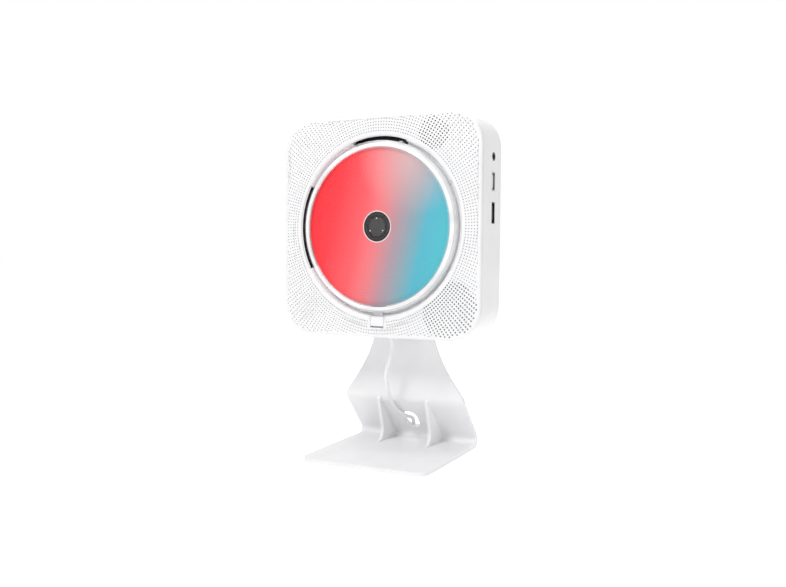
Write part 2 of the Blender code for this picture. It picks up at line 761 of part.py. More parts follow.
def case_shell(parent):
    """The four side walls in one ring: sockets' holes right, buttons' left and the cord's below."""
    front = PANEL_REAR - GAP
    outline = rounded_square(HALF_FACE, CORNER_RADIUS)
    shape = edge_rounded_slab_shape(outline, -CASE_DEPTH, front, -CASE_DEPTH, REAR_EDGE_RADIUS)
    shell = added("case_shell", shape, white_plastic("case_shell_white"), parent)
    hollow = rounded_square(INSIDE, CORNER_RADIUS - CASE_WALL)
    cut(shell, slab("cutter_hollow", hollow, -CASE_DEPTH - OVERRUN, front + OVERRUN, None, parent))
    boss_rear = -CASE_DEPTH + REAR_COVER_THICKNESS + GAP
    boss_front = boss_rear + SCREW_BORE_LENGTH + OVERRUN
    for number, (x, y) in enumerate(screw_places()):
        ends = ((x, y, boss_rear), (x, y, boss_front))
        boss = rod("adder_screw_boss_%d" % number, SCREW_BOSS_RADIUS, *ends, None, parent)
        low_y, high_y = sorted((y, math.copysign(INSIDE + CASE_WALL / 2, y)))
        low = (x - SCREW_SHANK_RADIUS, low_y, boss_rear + SINK)
        high = (x + SCREW_SHANK_RADIUS, high_y, boss_front - SINK)
        joined(shell, boss, block("adder_screw_web_%d" % number, low, high, None, parent))
    for number, (x, y) in enumerate(screw_places()):
        ends = ((x, y, boss_rear - OVERRUN), (x, y, boss_rear + SCREW_BORE_LENGTH))
        cut(shell, rod("cutter_bore_%d" % number, SCREW_SHANK_RADIUS + GAP, *ends, None, parent, 8))
    bottom, top, outer_x, inner_x = button_board_span()
    for name, low_up in (("top", top + GAP), ("bottom", bottom - GAP - BRACKET_THICKNESS)):
        low = (-INSIDE - CASE_WALL / 2, low_up, -PORT_DEPTH - BUTTON_BOARD_WIDTH / 2)
        high = (inner_x, low_up + BRACKET_THICKNESS, -PORT_DEPTH + BUTTON_BOARD_WIDTH / 2)
        joined(shell, block("adder_bracket_" + name, low, high, None, parent))
    ends = ((0, -HALF_FACE - OVERRUN, -GROMMET_DEPTH), (0, -INSIDE + OVERRUN, -GROMMET_DEPTH))
    neck = rod("cutter_grommet", GROMMET_NECK_RADIUS + GAP, *ends, None, parent)
    return smooth(cut(shell, *socket_holes(parent), *button_holes(parent), neck))


def keyhole_outline():
    """A round entry with a narrow slot above it, which ends over the stand's stud."""
    slot = STUD_RADIUS + GAP
    entry = STUD_HEAD_RADIUS + 2 * GAP
    neck = math.asin(slot / entry)
    narrow = arc(0.0, 0.0, slot, 0.0, math.pi, BUTTON_END_STEPS)
    return narrow + arc(0.0, -KEYHOLE_DROP, entry, QUARTER + neck, 5 * QUARTER - neck, SMALL_ROUND_STEPS)


def board_post_places():
    left, right = BOARD_LEFT + BOARD_POST_MARGIN, BOARD_RIGHT - BOARD_POST_MARGIN
    bottom, top = BOARD_BOTTOM + BOARD_POST_MARGIN, BOARD_TOP - BOARD_POST_MARGIN
    beside_plinth = PLINTH_SIZE / 2 + BOARD_POST_MARGIN
    return [(left, top), (right, top), (right, bottom), (beside_plinth, bottom)]


def rear_cover(parent):
    """The back plate, let into the case: raised plinth with its keyhole, board posts, screw holes."""
    outline = rounded_square(INSIDE - GAP, CORNER_RADIUS - CASE_WALL - GAP)
    inner = -CASE_DEPTH + REAR_COVER_THICKNESS
    cover = slab("rear_cover", outline, -CASE_DEPTH, inner, white_plastic("rear_cover_white"), parent)
    plinth_outline = rounded_square(PLINTH_SIZE / 2, PLINTH_CORNER)
    plinth = edge_rounded_slab_shape(
        plinth_outline, PLINTH_REAR, -CASE_DEPTH + SINK, PLINTH_REAR, REAR_EDGE_RADIUS
    )
    joined(cover, added("adder_plinth", plinth, None, parent))
    for number, (x, y) in enumerate(board_post_places()):
        ends = ((x, y, inner - SINK), (x, y, BOARD_FRONT - BOARD_THICKNESS - GAP))
        joined(cover, rod("adder_board_post_%d" % number, BOARD_POST_RADIUS, *ends, None, parent, 10))
    pocket_outline = rounded_square(
        PLINTH_SIZE / 2 - REAR_COVER_THICKNESS, PLINTH_CORNER - REAR_COVER_THICKNESS
    )
    pocket_rear = PLINTH_REAR + REAR_COVER_THICKNESS
    pocket = slab("cutter_plinth", pocket_outline, pocket_rear, inner + OVERRUN, None, parent)
    low, high = PLINTH_REAR - OVERRUN, pocket_rear + OVERRUN
    cut(cover, pocket, slab("cutter_keyhole", keyhole_outline(), low, high, None, parent))
    for number, (x, y) in enumerate(screw_places()):
        ends = ((x, y, -CASE_DEPTH - OVERRUN), (x, y, inner + OVERRUN))
        cut(cover, rod("cutter_cover_screw_%d" % number, SCREW_SHANK_RADIUS + GAP, *ends, None, parent, 8))
    return smooth(cover)


def rear_screw(number, x, y, parent):
    """A pan-head screw through the back plate into its boss."""
    top = SCREW_HEAD_HEIGHT + GAP
    end = GAP - SCREW_LENGTH
    profile = [
        (0.0, top),
        (SCREW_HEAD_RADIUS * SCREW_HEAD_FLAT_SHARE, top),
        (SCREW_HEAD_RADIUS, top - SCREW_HEAD_HEIGHT / 2),
        (SCREW_HEAD_RADIUS, GAP),
        (SCREW_SHANK_RADIUS, GAP),
        (SCREW_SHANK_RADIUS, end),
        (0.0, end),
    ]
    finish = material("screw_steel_%d" % number, (0.35, 0.35, 0.36), 0.35, metallic=1.0)
    place, turn = (x, y, -CASE_DEPTH), (math.pi, 0.0, 0.0)
    return turned("rear_screw_%d" % number, profile, finish, parent, place, turn, steps=8)


def damper_places():
    corners = ((DAMPER_TOP_X, DAMPER_TOP_UP), (DAMPER_BOTTOM_X, DAMPER_BOTTOM_UP))
    return [(side * x, up) for side in (-1, 1) for x, up in corners]


def disc_pan(parent):
    """The white pan under the disc: floor, stiffening rib, groove for the cover's rim, and flange."""
    floor_rear = PAN_FLOOR_FRONT - PAN_WALL
    rib_outer = RECESS_INNER_RADIUS - GAP
    rib_inner = rib_outer - PAN_RIB_WIDTH
    profile = [
        (rib_outer, PAN_FLOOR_FRONT),
        (rib_outer, GROOVE_FRONT),
        (PAN_FLANGE_RADIUS, GROOVE_FRONT),
        (PAN_FLANGE_RADIUS, GROOVE_FRONT - PAN_WALL),
        (rib_outer, GROOVE_FRONT - PAN_WALL),
        (rib_outer, PAN_REAR),
        (rib_inner, PAN_REAR),
        (rib_inner, floor_rear),
        (PAN_HOLE_RADIUS, floor_rear),
        (PAN_HOLE_RADIUS, PAN_FLOOR_FRONT),
    ]
    pan = turned("disc_pan", profile, white_plastic("disc_pan_white"), parent, steps=ROUND_STEPS)
    for number, (x, y) in enumerate(damper_places()):
        ends = ((x, y, DAMPER_FRONT + GAP), (x, y, floor_rear + SINK))
        joined(pan, rod("adder_pan_post_%d" % number, PAN_POST_RADIUS, *ends, None, parent, 10))
    half_slot = PICKUP_SLOT_WIDTH / 2
    slot_end = -LENS_START - SLED_TRAVEL - LENS_HOLDER_RADIUS - 2 * GAP
    low, high = (-half_slot, slot_end, PAN_REAR - OVERRUN), (half_slot, -TURNTABLE_RADIUS, OVERRUN)
    slot = block("cutter_pickup_slot", low, high, None, parent)
    rack_tip = RACK_PITCH_LINE - TOOTH_MODULE * ADDENDUM_SHARE
    low = (rack_tip - 2 * GAP, -PAN_FLANGE_RADIUS, PAN_REAR - OVERRUN)
    high = (SLED_WIDTH / 2 + 2 * GAP, DAMPER_BOTTOM_UP, SLED_FRONT + GAP)
    passage = block("cutter_sled_passage", low, high, None, parent)
    recesses = recess_cutters("pan", PAN_FLANGE_RADIUS + OVERRUN, parent)
    return cut(pan, slot, passage, *recesses)


def rubber_damper(number, x, y, parent):
    """A waisted rubber mount between the pan's post and the chassis."""
    profile = [
        (0.0, DAMPER_LENGTH),
        (DAMPER_RADIUS, DAMPER_LENGTH),
        (DAMPER_WAIST_RADIUS, DAMPER_LENGTH * (1 - DAMPER_WAIST_SHARE)),
        (DAMPER_WAIST_RADIUS, DAMPER_LENGTH * DAMPER_WAIST_SHARE),
        (DAMPER_RADIUS, 0.0),
        (0.0, 0.0),
    ]
    finish = material("damper_rubber_%d" % number, (0.02, 0.02, 0.02), 0.8)
    place = (x, y, CHASSIS_FRONT + GAP)
    return turned("rubber_damper_%d" % number, profile, finish, parent, place, steps=10)


def arm_outline():
    """A gooseneck arm in section: from the cover's rim back round the pin's axis, then in to the eye."""
    half = ARM_THICKNESS / 2
    outer, inner = ARM_SWEEP_RADIUS + half, ARM_SWEEP_RADIUS - half
    eye_start = math.pi - math.asin(half / ARM_EYE_RADIUS)
    sweeps = (
        (outer, -ARM_RIM_ANGLE, -math.pi - math.asin(half / outer)),
        (ARM_EYE_RADIUS, eye_start, -eye_start),
        (inner, math.asin(half / inner) - math.pi, -ARM_RIM_ANGLE),
    )
    outline = []
    for radius, start, end in sweeps:
        for angle in np.linspace(start, end, ARM_STEPS):
            outline.append((HINGE_UP + radius * math.sin(angle), -HINGE_DEPTH + radius * math.cos(angle)))
    return outline


def dust_cover(hinge, parent):
    """The clear cap: flat front, round shoulder, skirt, catch tab and two gooseneck arms."""
    inner = COVER_RADIUS - COVER_WALL
    shoulder_x = COVER_RADIUS - COVER_SHOULDER
    shoulder_y = COVER_FRONT - COVER_SHOULDER
    inner_shoulder = COVER_SHOULDER - COVER_WALL
    profile = (
        [(0.0, COVER_FRONT)]
        + arc(shoulder_x, shoulder_y, COVER_SHOULDER, QUARTER, 0.0, COVER_SHOULDER_STEPS)
        + [(COVER_RADIUS, COVER_REAR), (inner, COVER_REAR)]
        + arc(shoulder_x, shoulder_y, inner_shoulder, 0.0, QUARTER, COVER_SHOULDER_STEPS)
        + [(0.0, COVER_FRONT - COVER_WALL)]
    )
    finish = material("cover_clear", (0.95, 0.97, 0.97), 0.05, alpha=0.3)
    cover = turned("dust_cover", profile, finish, hinge, -hinge.location, steps=ROUND_STEPS)
    half_tab = COVER_TAB_WIDTH / 2
    low = (-half_tab, LATCH_TOP + GAP, COVER_TAB_FRONT - COVER_TAB_THICKNESS)
    high = (half_tab, -inner - COVER_WALL / 3, COVER_TAB_FRONT)
    joined(cover, block("adder_cover_tab", low, high, None, parent))
    for side in (1, -1):
        low_x = side * ARM_PLACE - ARM_WIDTH / 2
        name = "adder_cover_arm_%d" % side
        joined(cover, sideways_slab(name, arm_outline(), low_x, low_x + ARM_WIDTH, None, parent))
    eye = added("cutter_cover_eye", hinge_rod_shape(HINGE_PIN_RADIUS + GAP / 2, OVERRUN), None, parent)
    return cut(cover, eye)


def hinge_pin(parent):
    finish = bright_metal("hinge_pin_steel")
    return smooth(added("cover_hinge_pin", hinge_rod_shape(HINGE_PIN_RADIUS), finish, parent))


def latch_button(parent):
    """The latch plate, whose upper end follows the dish, on a flange that slides behind the panel."""
    edge = [(-radius, height) for radius, height in dish_curve(-LATCH_TOP)]
    rear = PANEL_REAR - GAP
    outline = edge + [(LATCH_BOTTOM, 0.0), (LATCH_BOTTOM, rear - SINK), (LATCH_TOP, rear - SINK)]
    half = LATCH_WIDTH / 2
    finish = white_plastic("latch_white")
    latch = sideways_slab("latch_button", outline, -half, half, finish, parent)
    reach = half + LATCH_FLANGE_MARGIN
    low = (-reach, LATCH_BOTTOM - LATCH_FLANGE_MARGIN, rear - LATCH_FLANGE_THICKNESS)
    flange = block("adder_latch_flange", low, (reach, LATCH_FLANGE_TOP, rear), None, parent)
    return joined(latch, flange)


def disc(parent):
    """The polished disc with its centre hole."""
    rear = DISC_FRONT - DISC_THICKNESS
    profile = [
        (DISC_RADIUS, DISC_FRONT),
        (DISC_RADIUS, rear),
        (DISC_HOLE_RADIUS, rear),
        (DISC_HOLE_RADIUS, DISC_FRONT),
    ]
    finish = material("disc_silver", (0.80, 0.80, 0.82), 0.12, metallic=1.0)
    return turned("disc", profile, finish, parent, steps=ROUND_STEPS)


def turntable(parent):
    """The platform under the disc, with its boss and the motor's shaft."""
    front = DISC_FRONT - DISC_THICKNESS - GAP
    boss_rear = SPINDLE_MOTOR_FRONT + GAP
    shaft_rear = CHASSIS_FRONT + OVERRUN
    profile = [
        (0.0, front),
        (TURNTABLE_RADIUS, front),
        (TURNTABLE_RADIUS, front - TURNTABLE_THICKNESS),
        (TURNTABLE_BOSS_RADIUS, front - TURNTABLE_THICKNESS),
        (TURNTABLE_BOSS_RADIUS, boss_rear),
        (SHAFT_RADIUS, boss_rear),
        (SHAFT_RADIUS, shaft_rear),
        (0.0, shaft_rear),
    ]
    return turned("turntable", profile, dark_plastic("turntable_black"), parent)


def ball_places():
    angles = [QUARTER + number * math.tau / BALL_COUNT for number in range(BALL_COUNT)]
    height = BALL_FRONT - BALL_RADIUS
    return [(BALL_PLACE * math.cos(a), BALL_PLACE * math.sin(a), height) for a in angles]


def ball_shape(radius):
    shape = bmesh.new()
    bmesh.ops.create_uvsphere(shape, u_segments=BALL_STEPS, v_segments=BALL_STEPS // 2 + 1, radius=radius)
    return shape


def spindle_hub(parent):
    """The chamfered hub that centres the disc, with a pocket for each ball."""
    rear = DISC_FRONT - DISC_THICKNESS
    profile = [
        (0.0, HUB_FRONT),
        (HUB_RADIUS - HUB_CHAMFER, HUB_FRONT),
        (HUB_RADIUS, HUB_FRONT - HUB_CHAMFER),
        (HUB_RADIUS, rear),
        (0.0, rear),
    ]
    hub = turned("spindle_hub", profile, dark_plastic("spindle_hub_black"), parent)
    for number, place in enumerate(ball_places()):
        shape = ball_shape(BALL_RADIUS + GAP)
        cut(hub, added("cutter_ball_pocket_%d" % number, shape, None, parent, place))
    return hub


def chuck_ball(number, place, parent):
    """A sprung ball that grips the edge of the disc's hole."""
    finish = bright_metal("chuck_ball_steel_%d" % number)
    return smooth(added("chuck_ball_%d" % number, ball_shape(BALL_RADIUS), finish, parent, place))


def spindle_motor(parent):
    rear = CHASSIS_FRONT + GAP
    profile = [
        (SPINDLE_MOTOR_RADIUS, SPINDLE_MOTOR_FRONT),
        (SPINDLE_MOTOR_RADIUS, rear),
        (SHAFT_RADIUS + GAP, rear),
        (SHAFT_RADIUS + GAP, SPINDLE_MOTOR_FRONT),
    ]
    return turned("spindle_motor", profile, bright_metal("spindle_motor_steel"), parent, steps=20)


def rod_post_spans():
    """The two stretches up the face that the rods' posts take, just past the sled's end positions."""
    top = -LENS_START + SLED_LENGTH / 2 + GAP
    bottom = -LENS_START - SLED_TRAVEL - SLED_LENGTH / 2 - GAP
    return (top, top + ROD_POST_LENGTH), (bottom - ROD_POST_LENGTH, bottom)


def deck_chassis(parent):
    """The plate that carries the motors, rods and gears: window, rod posts and the gear's axle."""
    rear = CHASSIS_FRONT - CHASSIS_THICKNESS
    outline = rounded_rectangle(
        CHASSIS_LEFT, CHASSIS_BOTTOM, CHASSIS_RIGHT, CHASSIS_TOP, CHASSIS_CORNER, EDGE_STEPS
    )
    finish = material("chassis_steel", (0.55, 0.55, 0.56), 0.40, metallic=1.0)
    chassis = slab("deck_chassis", outline, rear, CHASSIS_FRONT, finish, parent)
    spans = rod_post_spans()
    half = ROD_POST_WIDTH / 2
    post_front = -ROD_DEPTH + ROD_RADIUS + ROD_POST_CAP
    for number, (low_up, high_up) in enumerate(spans):
        for side in (1, -1):
            x = side * ROD_SPACING / 2
            low, high = (x - half, low_up, CHASSIS_FRONT - SINK), (x + half, high_up, post_front)
            joined(chassis, block("adder_rod_post_%d_%d" % (number, side), low, high, None, parent))
    ends = ((GEAR_X, GEAR_UP, CHASSIS_FRONT - SINK), (GEAR_X, GEAR_UP, FEED_FRONT + FEED_THICKNESS))
    joined(chassis, rod("adder_gear_axle", GEAR_AXLE_RADIUS, *ends, None, parent, 10))
    half_window = CHASSIS_WINDOW_WIDTH / 2
    low = (-half_window, spans[1][1] + CHASSIS_WINDOW_MARGIN, rear - OVERRUN)
    high = (half_window, spans[0][0] - CHASSIS_WINDOW_MARGIN, CHASSIS_FRONT + OVERRUN)
    window = block("cutter_chassis_window", low, high, None, parent)
    ends = ((MOTOR_X, MOTOR_UP, rear - OVERRUN), (MOTOR_X, MOTOR_UP, CHASSIS_FRONT + OVERRUN))
    shaft = rod("cutter_motor_shaft", FEED_MOTOR_SHAFT_RADIUS + GAP, *ends, None, parent, 8)
    cut(chassis, window, shaft)
    for side in (1, -1):
        x = side * ROD_SPACING / 2
        ends = ((x, spans[1][0] - OVERRUN, -ROD_DEPTH), (x, spans[0][1] + OVERRUN, -ROD_DEPTH))
        cut(chassis, rod("cutter_rod_%d" % side, ROD_RADIUS + GAP, *ends, None, parent))
    return chassis


def guide_rod(name, side, parent):
    spans = rod_post_spans()
    x = side * ROD_SPACING / 2
    ends = ((x, spans[1][0], -ROD_DEPTH), (x, spans[0][1], -ROD_DEPTH))
    return rod(name, ROD_RADIUS, *ends, bright_metal(name + "_steel"), parent)


def rack_outline():
    """The rack's bar and its teeth, which point left; a gap faces the pinion's middle."""
    pitch = math.pi * TOOTH_MODULE
    tip_x = RACK_PITCH_LINE - TOOTH_MODULE * ADDENDUM_SHARE
    root_x = RACK_PITCH_LINE + TOOTH_MODULE * DEDENDUM_SHARE
    bottom = RACK_TOP - RACK_LENGTH
    first = math.ceil((bottom - GEAR_UP) / pitch)
    last = math.floor((RACK_TOP - GEAR_UP) / pitch)
    outline = [(root_x, RACK_TOP)]
    for number in range(last - 1, first - 1, -1):
        middle = GEAR_UP + (number + 1 / 2) * pitch
        outline += [
            (root_x, middle + pitch * TOOTH_ROOT_SHARE),
            (tip_x, middle + pitch * TOOTH_TIP_SHARE),
            (tip_x, middle - pitch * TOOTH_TIP_SHARE),
            (root_x, middle - pitch * TOOTH_ROOT_SHARE),
        ]
    edge_x = -SLED_WIDTH / 2 + SINK / 2
    return outline + [(root_x, bottom), (edge_x, bottom), (edge_x, RACK_TOP)]


def sled_outline():
    """The sled in plan: a long bearing at the left, a waist under the lens and a short fork at the right."""
    half_width, half_waist = SLED_WIDTH / 2, SLED_WAIST_WIDTH / 2
    long, waist, fork = SLED_LENGTH / 2, SLED_WAIST_LENGTH / 2, SLED_FORK_LENGTH / 2
    upper = [
        (half_width, fork),
        (half_waist, fork),
        (half_waist, waist),
        (-half_waist, waist),
        (-half_waist, long),
        (-half_width, long),
    ]
    lower = [(x, -y) for x, y in reversed(upper)]
    return [(x, y - LENS_START) for x, y in upper + lower]


def pickup_sled(parent):
    """The sled that carries the lens along its two rods, with the rack that the pinion drives."""
    finish = dark_plastic("pickup_sled_black")
    sled = slab("pickup_sled", sled_outline(), SLED_REAR, SLED_FRONT, finish, parent)
    rack = slab("adder_rack", rack_outline(), RACK_FRONT - RACK_THICKNESS, RACK_FRONT, None, parent)
    joined(sled, rack)
    half_rod, reach = ROD_SPACING / 2, SLED_LENGTH / 2 + OVERRUN
    ends = (
        (-half_rod, -LENS_START - reach, -ROD_DEPTH),
        (-half_rod, -LENS_START + reach, -ROD_DEPTH),
    )
    bearing = rod("cutter_sled_bearing", ROD_RADIUS + GAP, *ends, None, parent)
    bore = ROD_RADIUS + GAP
    low = (half_rod - bore, -LENS_START - reach, -ROD_DEPTH - bore)
    high = (SLED_WIDTH / 2 + OVERRUN, -LENS_START + reach, -ROD_DEPTH + bore)
    return cut(sled, bearing, block("cutter_sled_fork", low, high, None, parent))


def lens_holder(parent):
    """The small block and round turret that hold the lens, above the sled."""
    half_width = LENS_BLOCK_WIDTH / 2
    low = (-half_width, -LENS_START - LENS_HOLDER_RADIUS, SLED_FRONT + GAP)
    high = (half_width, -LENS_START + LENS_HOLDER_RADIUS, LENS_BLOCK_FRONT)
    holder = block("lens_holder", low, high, dark_plastic("lens_holder_black"), parent)
    ends = ((0, -LENS_START, LENS_BLOCK_FRONT - SINK), (0, -LENS_START, LENS_HOLDER_FRONT))
    joined(holder, rod("adder_lens_turret", LENS_HOLDER_RADIUS, *ends, None, parent, 16))
    seat = LENS_HOLDER_FRONT - LENS_THICKNESS - GAP
    ends = ((0, -LENS_START, seat), (0, -LENS_START, LENS_HOLDER_FRONT + OVERRUN))
    return cut(holder, rod("cutter_lens_seat", LENS_RADIUS + GAP, *ends, None, parent, 16))


def objective_lens(parent):
    """The little glass lens, domed towards the disc."""
    bulge = arc(0.0, 0.0, 1.0, QUARTER, 0.0, 4)
    profile = [(LENS_RADIUS * x, LENS_THICKNESS + LENS_DOME * y) for x, y in bulge]
    profile[0] = (0.0, LENS_THICKNESS + LENS_DOME)
    profile += [(LENS_RADIUS, 0.0), (0.0, 0.0)]
    finish = material("lens_glass", (0.20, 0.30, 0.60), 0.05)
    place = (0.0, -LENS_START, LENS_HOLDER_FRONT - LENS_THICKNESS)
    return turned("objective_lens", profile, finish, parent, place, steps=16)


def gear_outline(teeth, module, phase):
    """A spur gear's outline, with one tooth centred on the phase angle."""
    pitch_radius = teeth * module / 2
    root, tip = pitch_radius - module * DEDENDUM_SHARE, pitch_radius + module * ADDENDUM_SHARE
    step = math.tau / teeth
    outline = []
    for number in range(teeth):
        middle = phase + number * step
        for radius, offset_share in (
            (root, -TOOTH_ROOT_SHARE),
            (tip, -TOOTH_TIP_SHARE),
            (tip, TOOTH_TIP_SHARE),
            (root, TOOTH_ROOT_SHARE),
        ):
            angle = middle + offset_share * step
            outline.append((radius * math.cos(angle), radius * math.sin(angle)))
    return outline


def feed_gear(parent):
    """The large wheel with the rack's pinion in front of it, on the chassis' axle."""
    place = (GEAR_X, GEAR_UP, 0.0)
    wheel_rear = FEED_FRONT - FEED_THICKNESS
    outline = gear_outline(FEED_TEETH, BIG_TOOTH_MODULE, FEED_MOTOR_ANGLE)
    finish = material("feed_gear_white", (0.85, 0.85, 0.82), 0.5)
    gear = slab("feed_gear", outline, wheel_rear, FEED_FRONT, finish, parent, place)
    outline = gear_outline(PINION_TEETH, TOOTH_MODULE, 0.0)
    joined(gear, slab("adder_pinion", outline, FEED_FRONT - SINK, RACK_FRONT, None, parent, place))
    ends = ((GEAR_X, GEAR_UP, wheel_rear - OVERRUN), (GEAR_X, GEAR_UP, RACK_FRONT + OVERRUN))
    return cut(gear, rod("cutter_gear_bore", GEAR_AXLE_RADIUS + GAP, *ends, None, parent, 10))


def motor_pinion(parent):
    """The small pinion on the sled motor's shaft; a gap faces the wheel's tooth."""
    place = (MOTOR_X, MOTOR_UP, 0.0)
    rear = FEED_FRONT - FEED_THICKNESS
    phase = FEED_MOTOR_ANGLE + math.pi + math.pi / MOTOR_TEETH
    outline = gear_outline(MOTOR_TEETH, BIG_TOOTH_MODULE, phase)
    finish = material("motor_pinion_brass", (0.72, 0.55, 0.25), 0.3, metallic=1.0)
    pinion = slab("motor_pinion", outline, rear, FEED_FRONT + GAP, finish, parent, place)
    ends = ((MOTOR_X, MOTOR_UP, rear - FEED_MOTOR_SHAFT_LENGTH), (MOTOR_X, MOTOR_UP, rear + SINK))
    return joined(pinion, rod("adder_motor_shaft", FEED_MOTOR_SHAFT_RADIUS, *ends, None, parent, 8))


def sled_motor(parent):
    """The motor's can behind the chassis, with the bore that its shaft turns in."""
    front = CHASSIS_FRONT - CHASSIS_THICKNESS - GAP
    ends = ((MOTOR_X, MOTOR_UP, front - FEED_MOTOR_LENGTH), (MOTOR_X, MOTOR_UP, front))
    can = rod("sled_motor", FEED_MOTOR_RADIUS, *ends, bright_metal("sled_motor_steel"), parent, 20)
    shaft_rear = FEED_FRONT - FEED_THICKNESS - FEED_MOTOR_SHAFT_LENGTH
    ends = ((MOTOR_X, MOTOR_UP, shaft_rear - GAP), (MOTOR_X, MOTOR_UP, front + OVERRUN))
    return cut(can, rod("cutter_can_bore", FEED_MOTOR_SHAFT_RADIUS + GAP, *ends, None, parent, 8))


def speaker_frame(name, side, parent):
    """The speaker's basket: flange behind the panel, flared well for the cone, and magnet."""
    front = PANEL_REAR - GAP
    flange_rear = front - SPEAKER_FLANGE_THICKNESS
    well = front - SPEAKER_WELL_DEPTH
    profile = [
        (0.0, well),
        (SPEAKER_WELL_RADIUS, well),
        (SPEAKER_MOUTH_RADIUS, flange_rear),
        (SPEAKER_MOUTH_RADIUS, front),
        (SPEAKER_RADIUS, front),
        (SPEAKER_RADIUS, flange_rear),
        (SPEAKER_MOUTH_RADIUS + SPEAKER_FLANGE_THICKNESS, flange_rear),
        (SPEAKER_MAGNET_RADIUS, well - SPEAKER_FLANGE_THICKNESS),
        (SPEAKER_MAGNET_RADIUS, front - SPEAKER_DEPTH),
        (0.0, front - SPEAKER_DEPTH),
    ]
    place = (side * SPEAKER_PLACE, -SPEAKER_PLACE, 0.0)
    return turned(name, profile, dark_plastic(name + "_black"), parent, place, steps=20)


def speaker_cone(name, side, parent):
    """The thin cone with its domed cap, in the well of its basket."""
    front = PANEL_REAR - GAP
    rim = SPEAKER_MOUTH_RADIUS - GAP
    cap = front - SPEAKER_WELL_DEPTH + GAP + CONE_THICKNESS
    profile = [
        (0.0, cap + CONE_CAP_HEIGHT),
        (CONE_CAP_RADIUS / 2, cap + CONE_CAP_HEIGHT * 3 / 4),
        (CONE_CAP_RADIUS, cap),
        (rim, front - CONE_THICKNESS),
        (rim, front - 2 * CONE_THICKNESS),
        (CONE_CAP_RADIUS, cap - CONE_THICKNESS),
        (0.0, cap - CONE_THICKNESS),
    ]
    finish = material(name + "_paper", (0.06, 0.06, 0.06), 0.9)
    place = (side * SPEAKER_PLACE, -SPEAKER_PLACE, 0.0)
    return turned(name, profile, finish, parent, place, steps=20)


def main_board(parent):
    """The circuit board behind the deck, with its chip and its smoothing capacitors."""
    outline = rounded_rectangle(BOARD_LEFT, BOARD_BOTTOM, BOARD_RIGHT, BOARD_TOP, BOARD_CORNER, 2)
    rear = BOARD_FRONT - BOARD_THICKNESS
    board = slab("main_board", outline, rear, BOARD_FRONT, circuit_board("main_board_green"), parent)
    low = (CHIP_X - CHIP_SIZE / 2, CHIP_UP - CHIP_SIZE / 2, BOARD_FRONT - SINK)
    high = (CHIP_X + CHIP_SIZE / 2, CHIP_UP + CHIP_SIZE / 2, BOARD_FRONT + CHIP_THICKNESS)
    joined(board, block("adder_chip", low, high, None, parent))
    for number in range(CAN_COUNT):
        x = CAN_X + number * CAN_PITCH
        ends = ((x, CAN_UP, BOARD_FRONT - SINK), (x, CAN_UP, BOARD_FRONT + CAN_LENGTH))
        joined(board, rod("adder_can_%d" % number, CAN_RADIUS, *ends, None, parent, 10))
    return board


def audio_jack(parent):
    """The round headphone socket: a block on the board, a barrel in the wall and its bore."""
    half = JACK_BODY_WIDTH / 2
    low = (HALF_FACE - JACK_LENGTH, JACK_UP - half, BOARD_FRONT + GAP)
    high = (BOARD_RIGHT, JACK_UP + half, -PORT_DEPTH + half)
    jack = block("audio_jack", low, high, dark_plastic("audio_jack_black"), parent)
    ends = ((BOARD_RIGHT - SINK, JACK_UP, -PORT_DEPTH), (HALF_FACE, JACK_UP, -PORT_DEPTH))
    joined(jack, rod("adder_jack_barrel", JACK_RADIUS, *ends, None, parent, SMALL_ROUND_STEPS))
    inner_end = HALF_FACE - JACK_LENGTH + SOCKET_BACK
    ends = ((inner_end, JACK_UP, -PORT_DEPTH), (HALF_FACE + OVERRUN, JACK_UP, -PORT_DEPTH))
    return cut(jack, rod("cutter_jack_bore", JACK_BORE_RADIUS, *ends, None, parent, 10))


def flat_socket(name, up, width, height, length, finish, parent):
    """A flat socket: metal shell through the wall, foot on the board, hollow mouth and its tongue."""
    low_x = HALF_FACE - length
    low = (low_x, up - width / 2, -PORT_DEPTH - height / 2)
    high = (HALF_FACE, up + width / 2, -PORT_DEPTH + height / 2)
    socket = block(name, low, high, finish, parent)
    low = (low_x, up - width / 2 + SOCKET_SHELL, BOARD_FRONT + GAP)
    high = (BOARD_RIGHT, up + width / 2 - SOCKET_SHELL, -PORT_DEPTH)
    joined(socket, block("adder_foot_" + name, low, high, None, parent))
    half_mouth, half_rise = width / 2 - SOCKET_SHELL, height / 2 - SOCKET_SHELL
    back = low_x + SOCKET_BACK
    low = (back, up - half_mouth, -PORT_DEPTH - half_rise)
    high = (HALF_FACE + OVERRUN, up + half_mouth, -PORT_DEPTH + half_rise)
    cut(socket, block("cutter_mouth_" + name, low, high, None, parent))
    half_width = width * SOCKET_TONGUE_WIDTH_SHARE / 2
    half_height = height * SOCKET_TONGUE_HEIGHT_SHARE / 2
    low = (back - SINK, up - half_width, -PORT_DEPTH - half_height)
    high = (HALF_FACE - SOCKET_SHELL, up + half_width, -PORT_DEPTH + half_height)
    return joined(socket, block("adder_tongue_" + name, low, high, None, parent))


def side_button(number, up, parent):
    """A button: its cap through the wall, a flange behind it and a stem that meets its switch."""
    outer, wall = -HALF_FACE - BUTTON_PROUD, -INSIDE + GAP
    finish = white_plastic("side_button_white_%d" % number)
    name = "side_button_%d" % number
    button = sideways_slab(name, button_outline(up), outer, wall + SINK, finish, parent)
    flange_end = wall + BUTTON_FLANGE_THICKNESS
    outline = button_outline(up, BUTTON_FLANGE_MARGIN)
    flange = sideways_slab("adder_button_flange_%d" % number, outline, wall, flange_end, None, parent)
    switch_face = -INSIDE + BUTTON_BOARD_DISTANCE - SWITCH_THICKNESS
    half = BUTTON_STEM_WIDTH / 2
    low = (flange_end - SINK, up - half, -PORT_DEPTH - half)
    high = (switch_face - BUTTON_TRAVEL - GAP, up + half, -PORT_DEPTH + half)
    return joined(button, flange, block("adder_button_stem_%d" % number, low, high, None, parent))


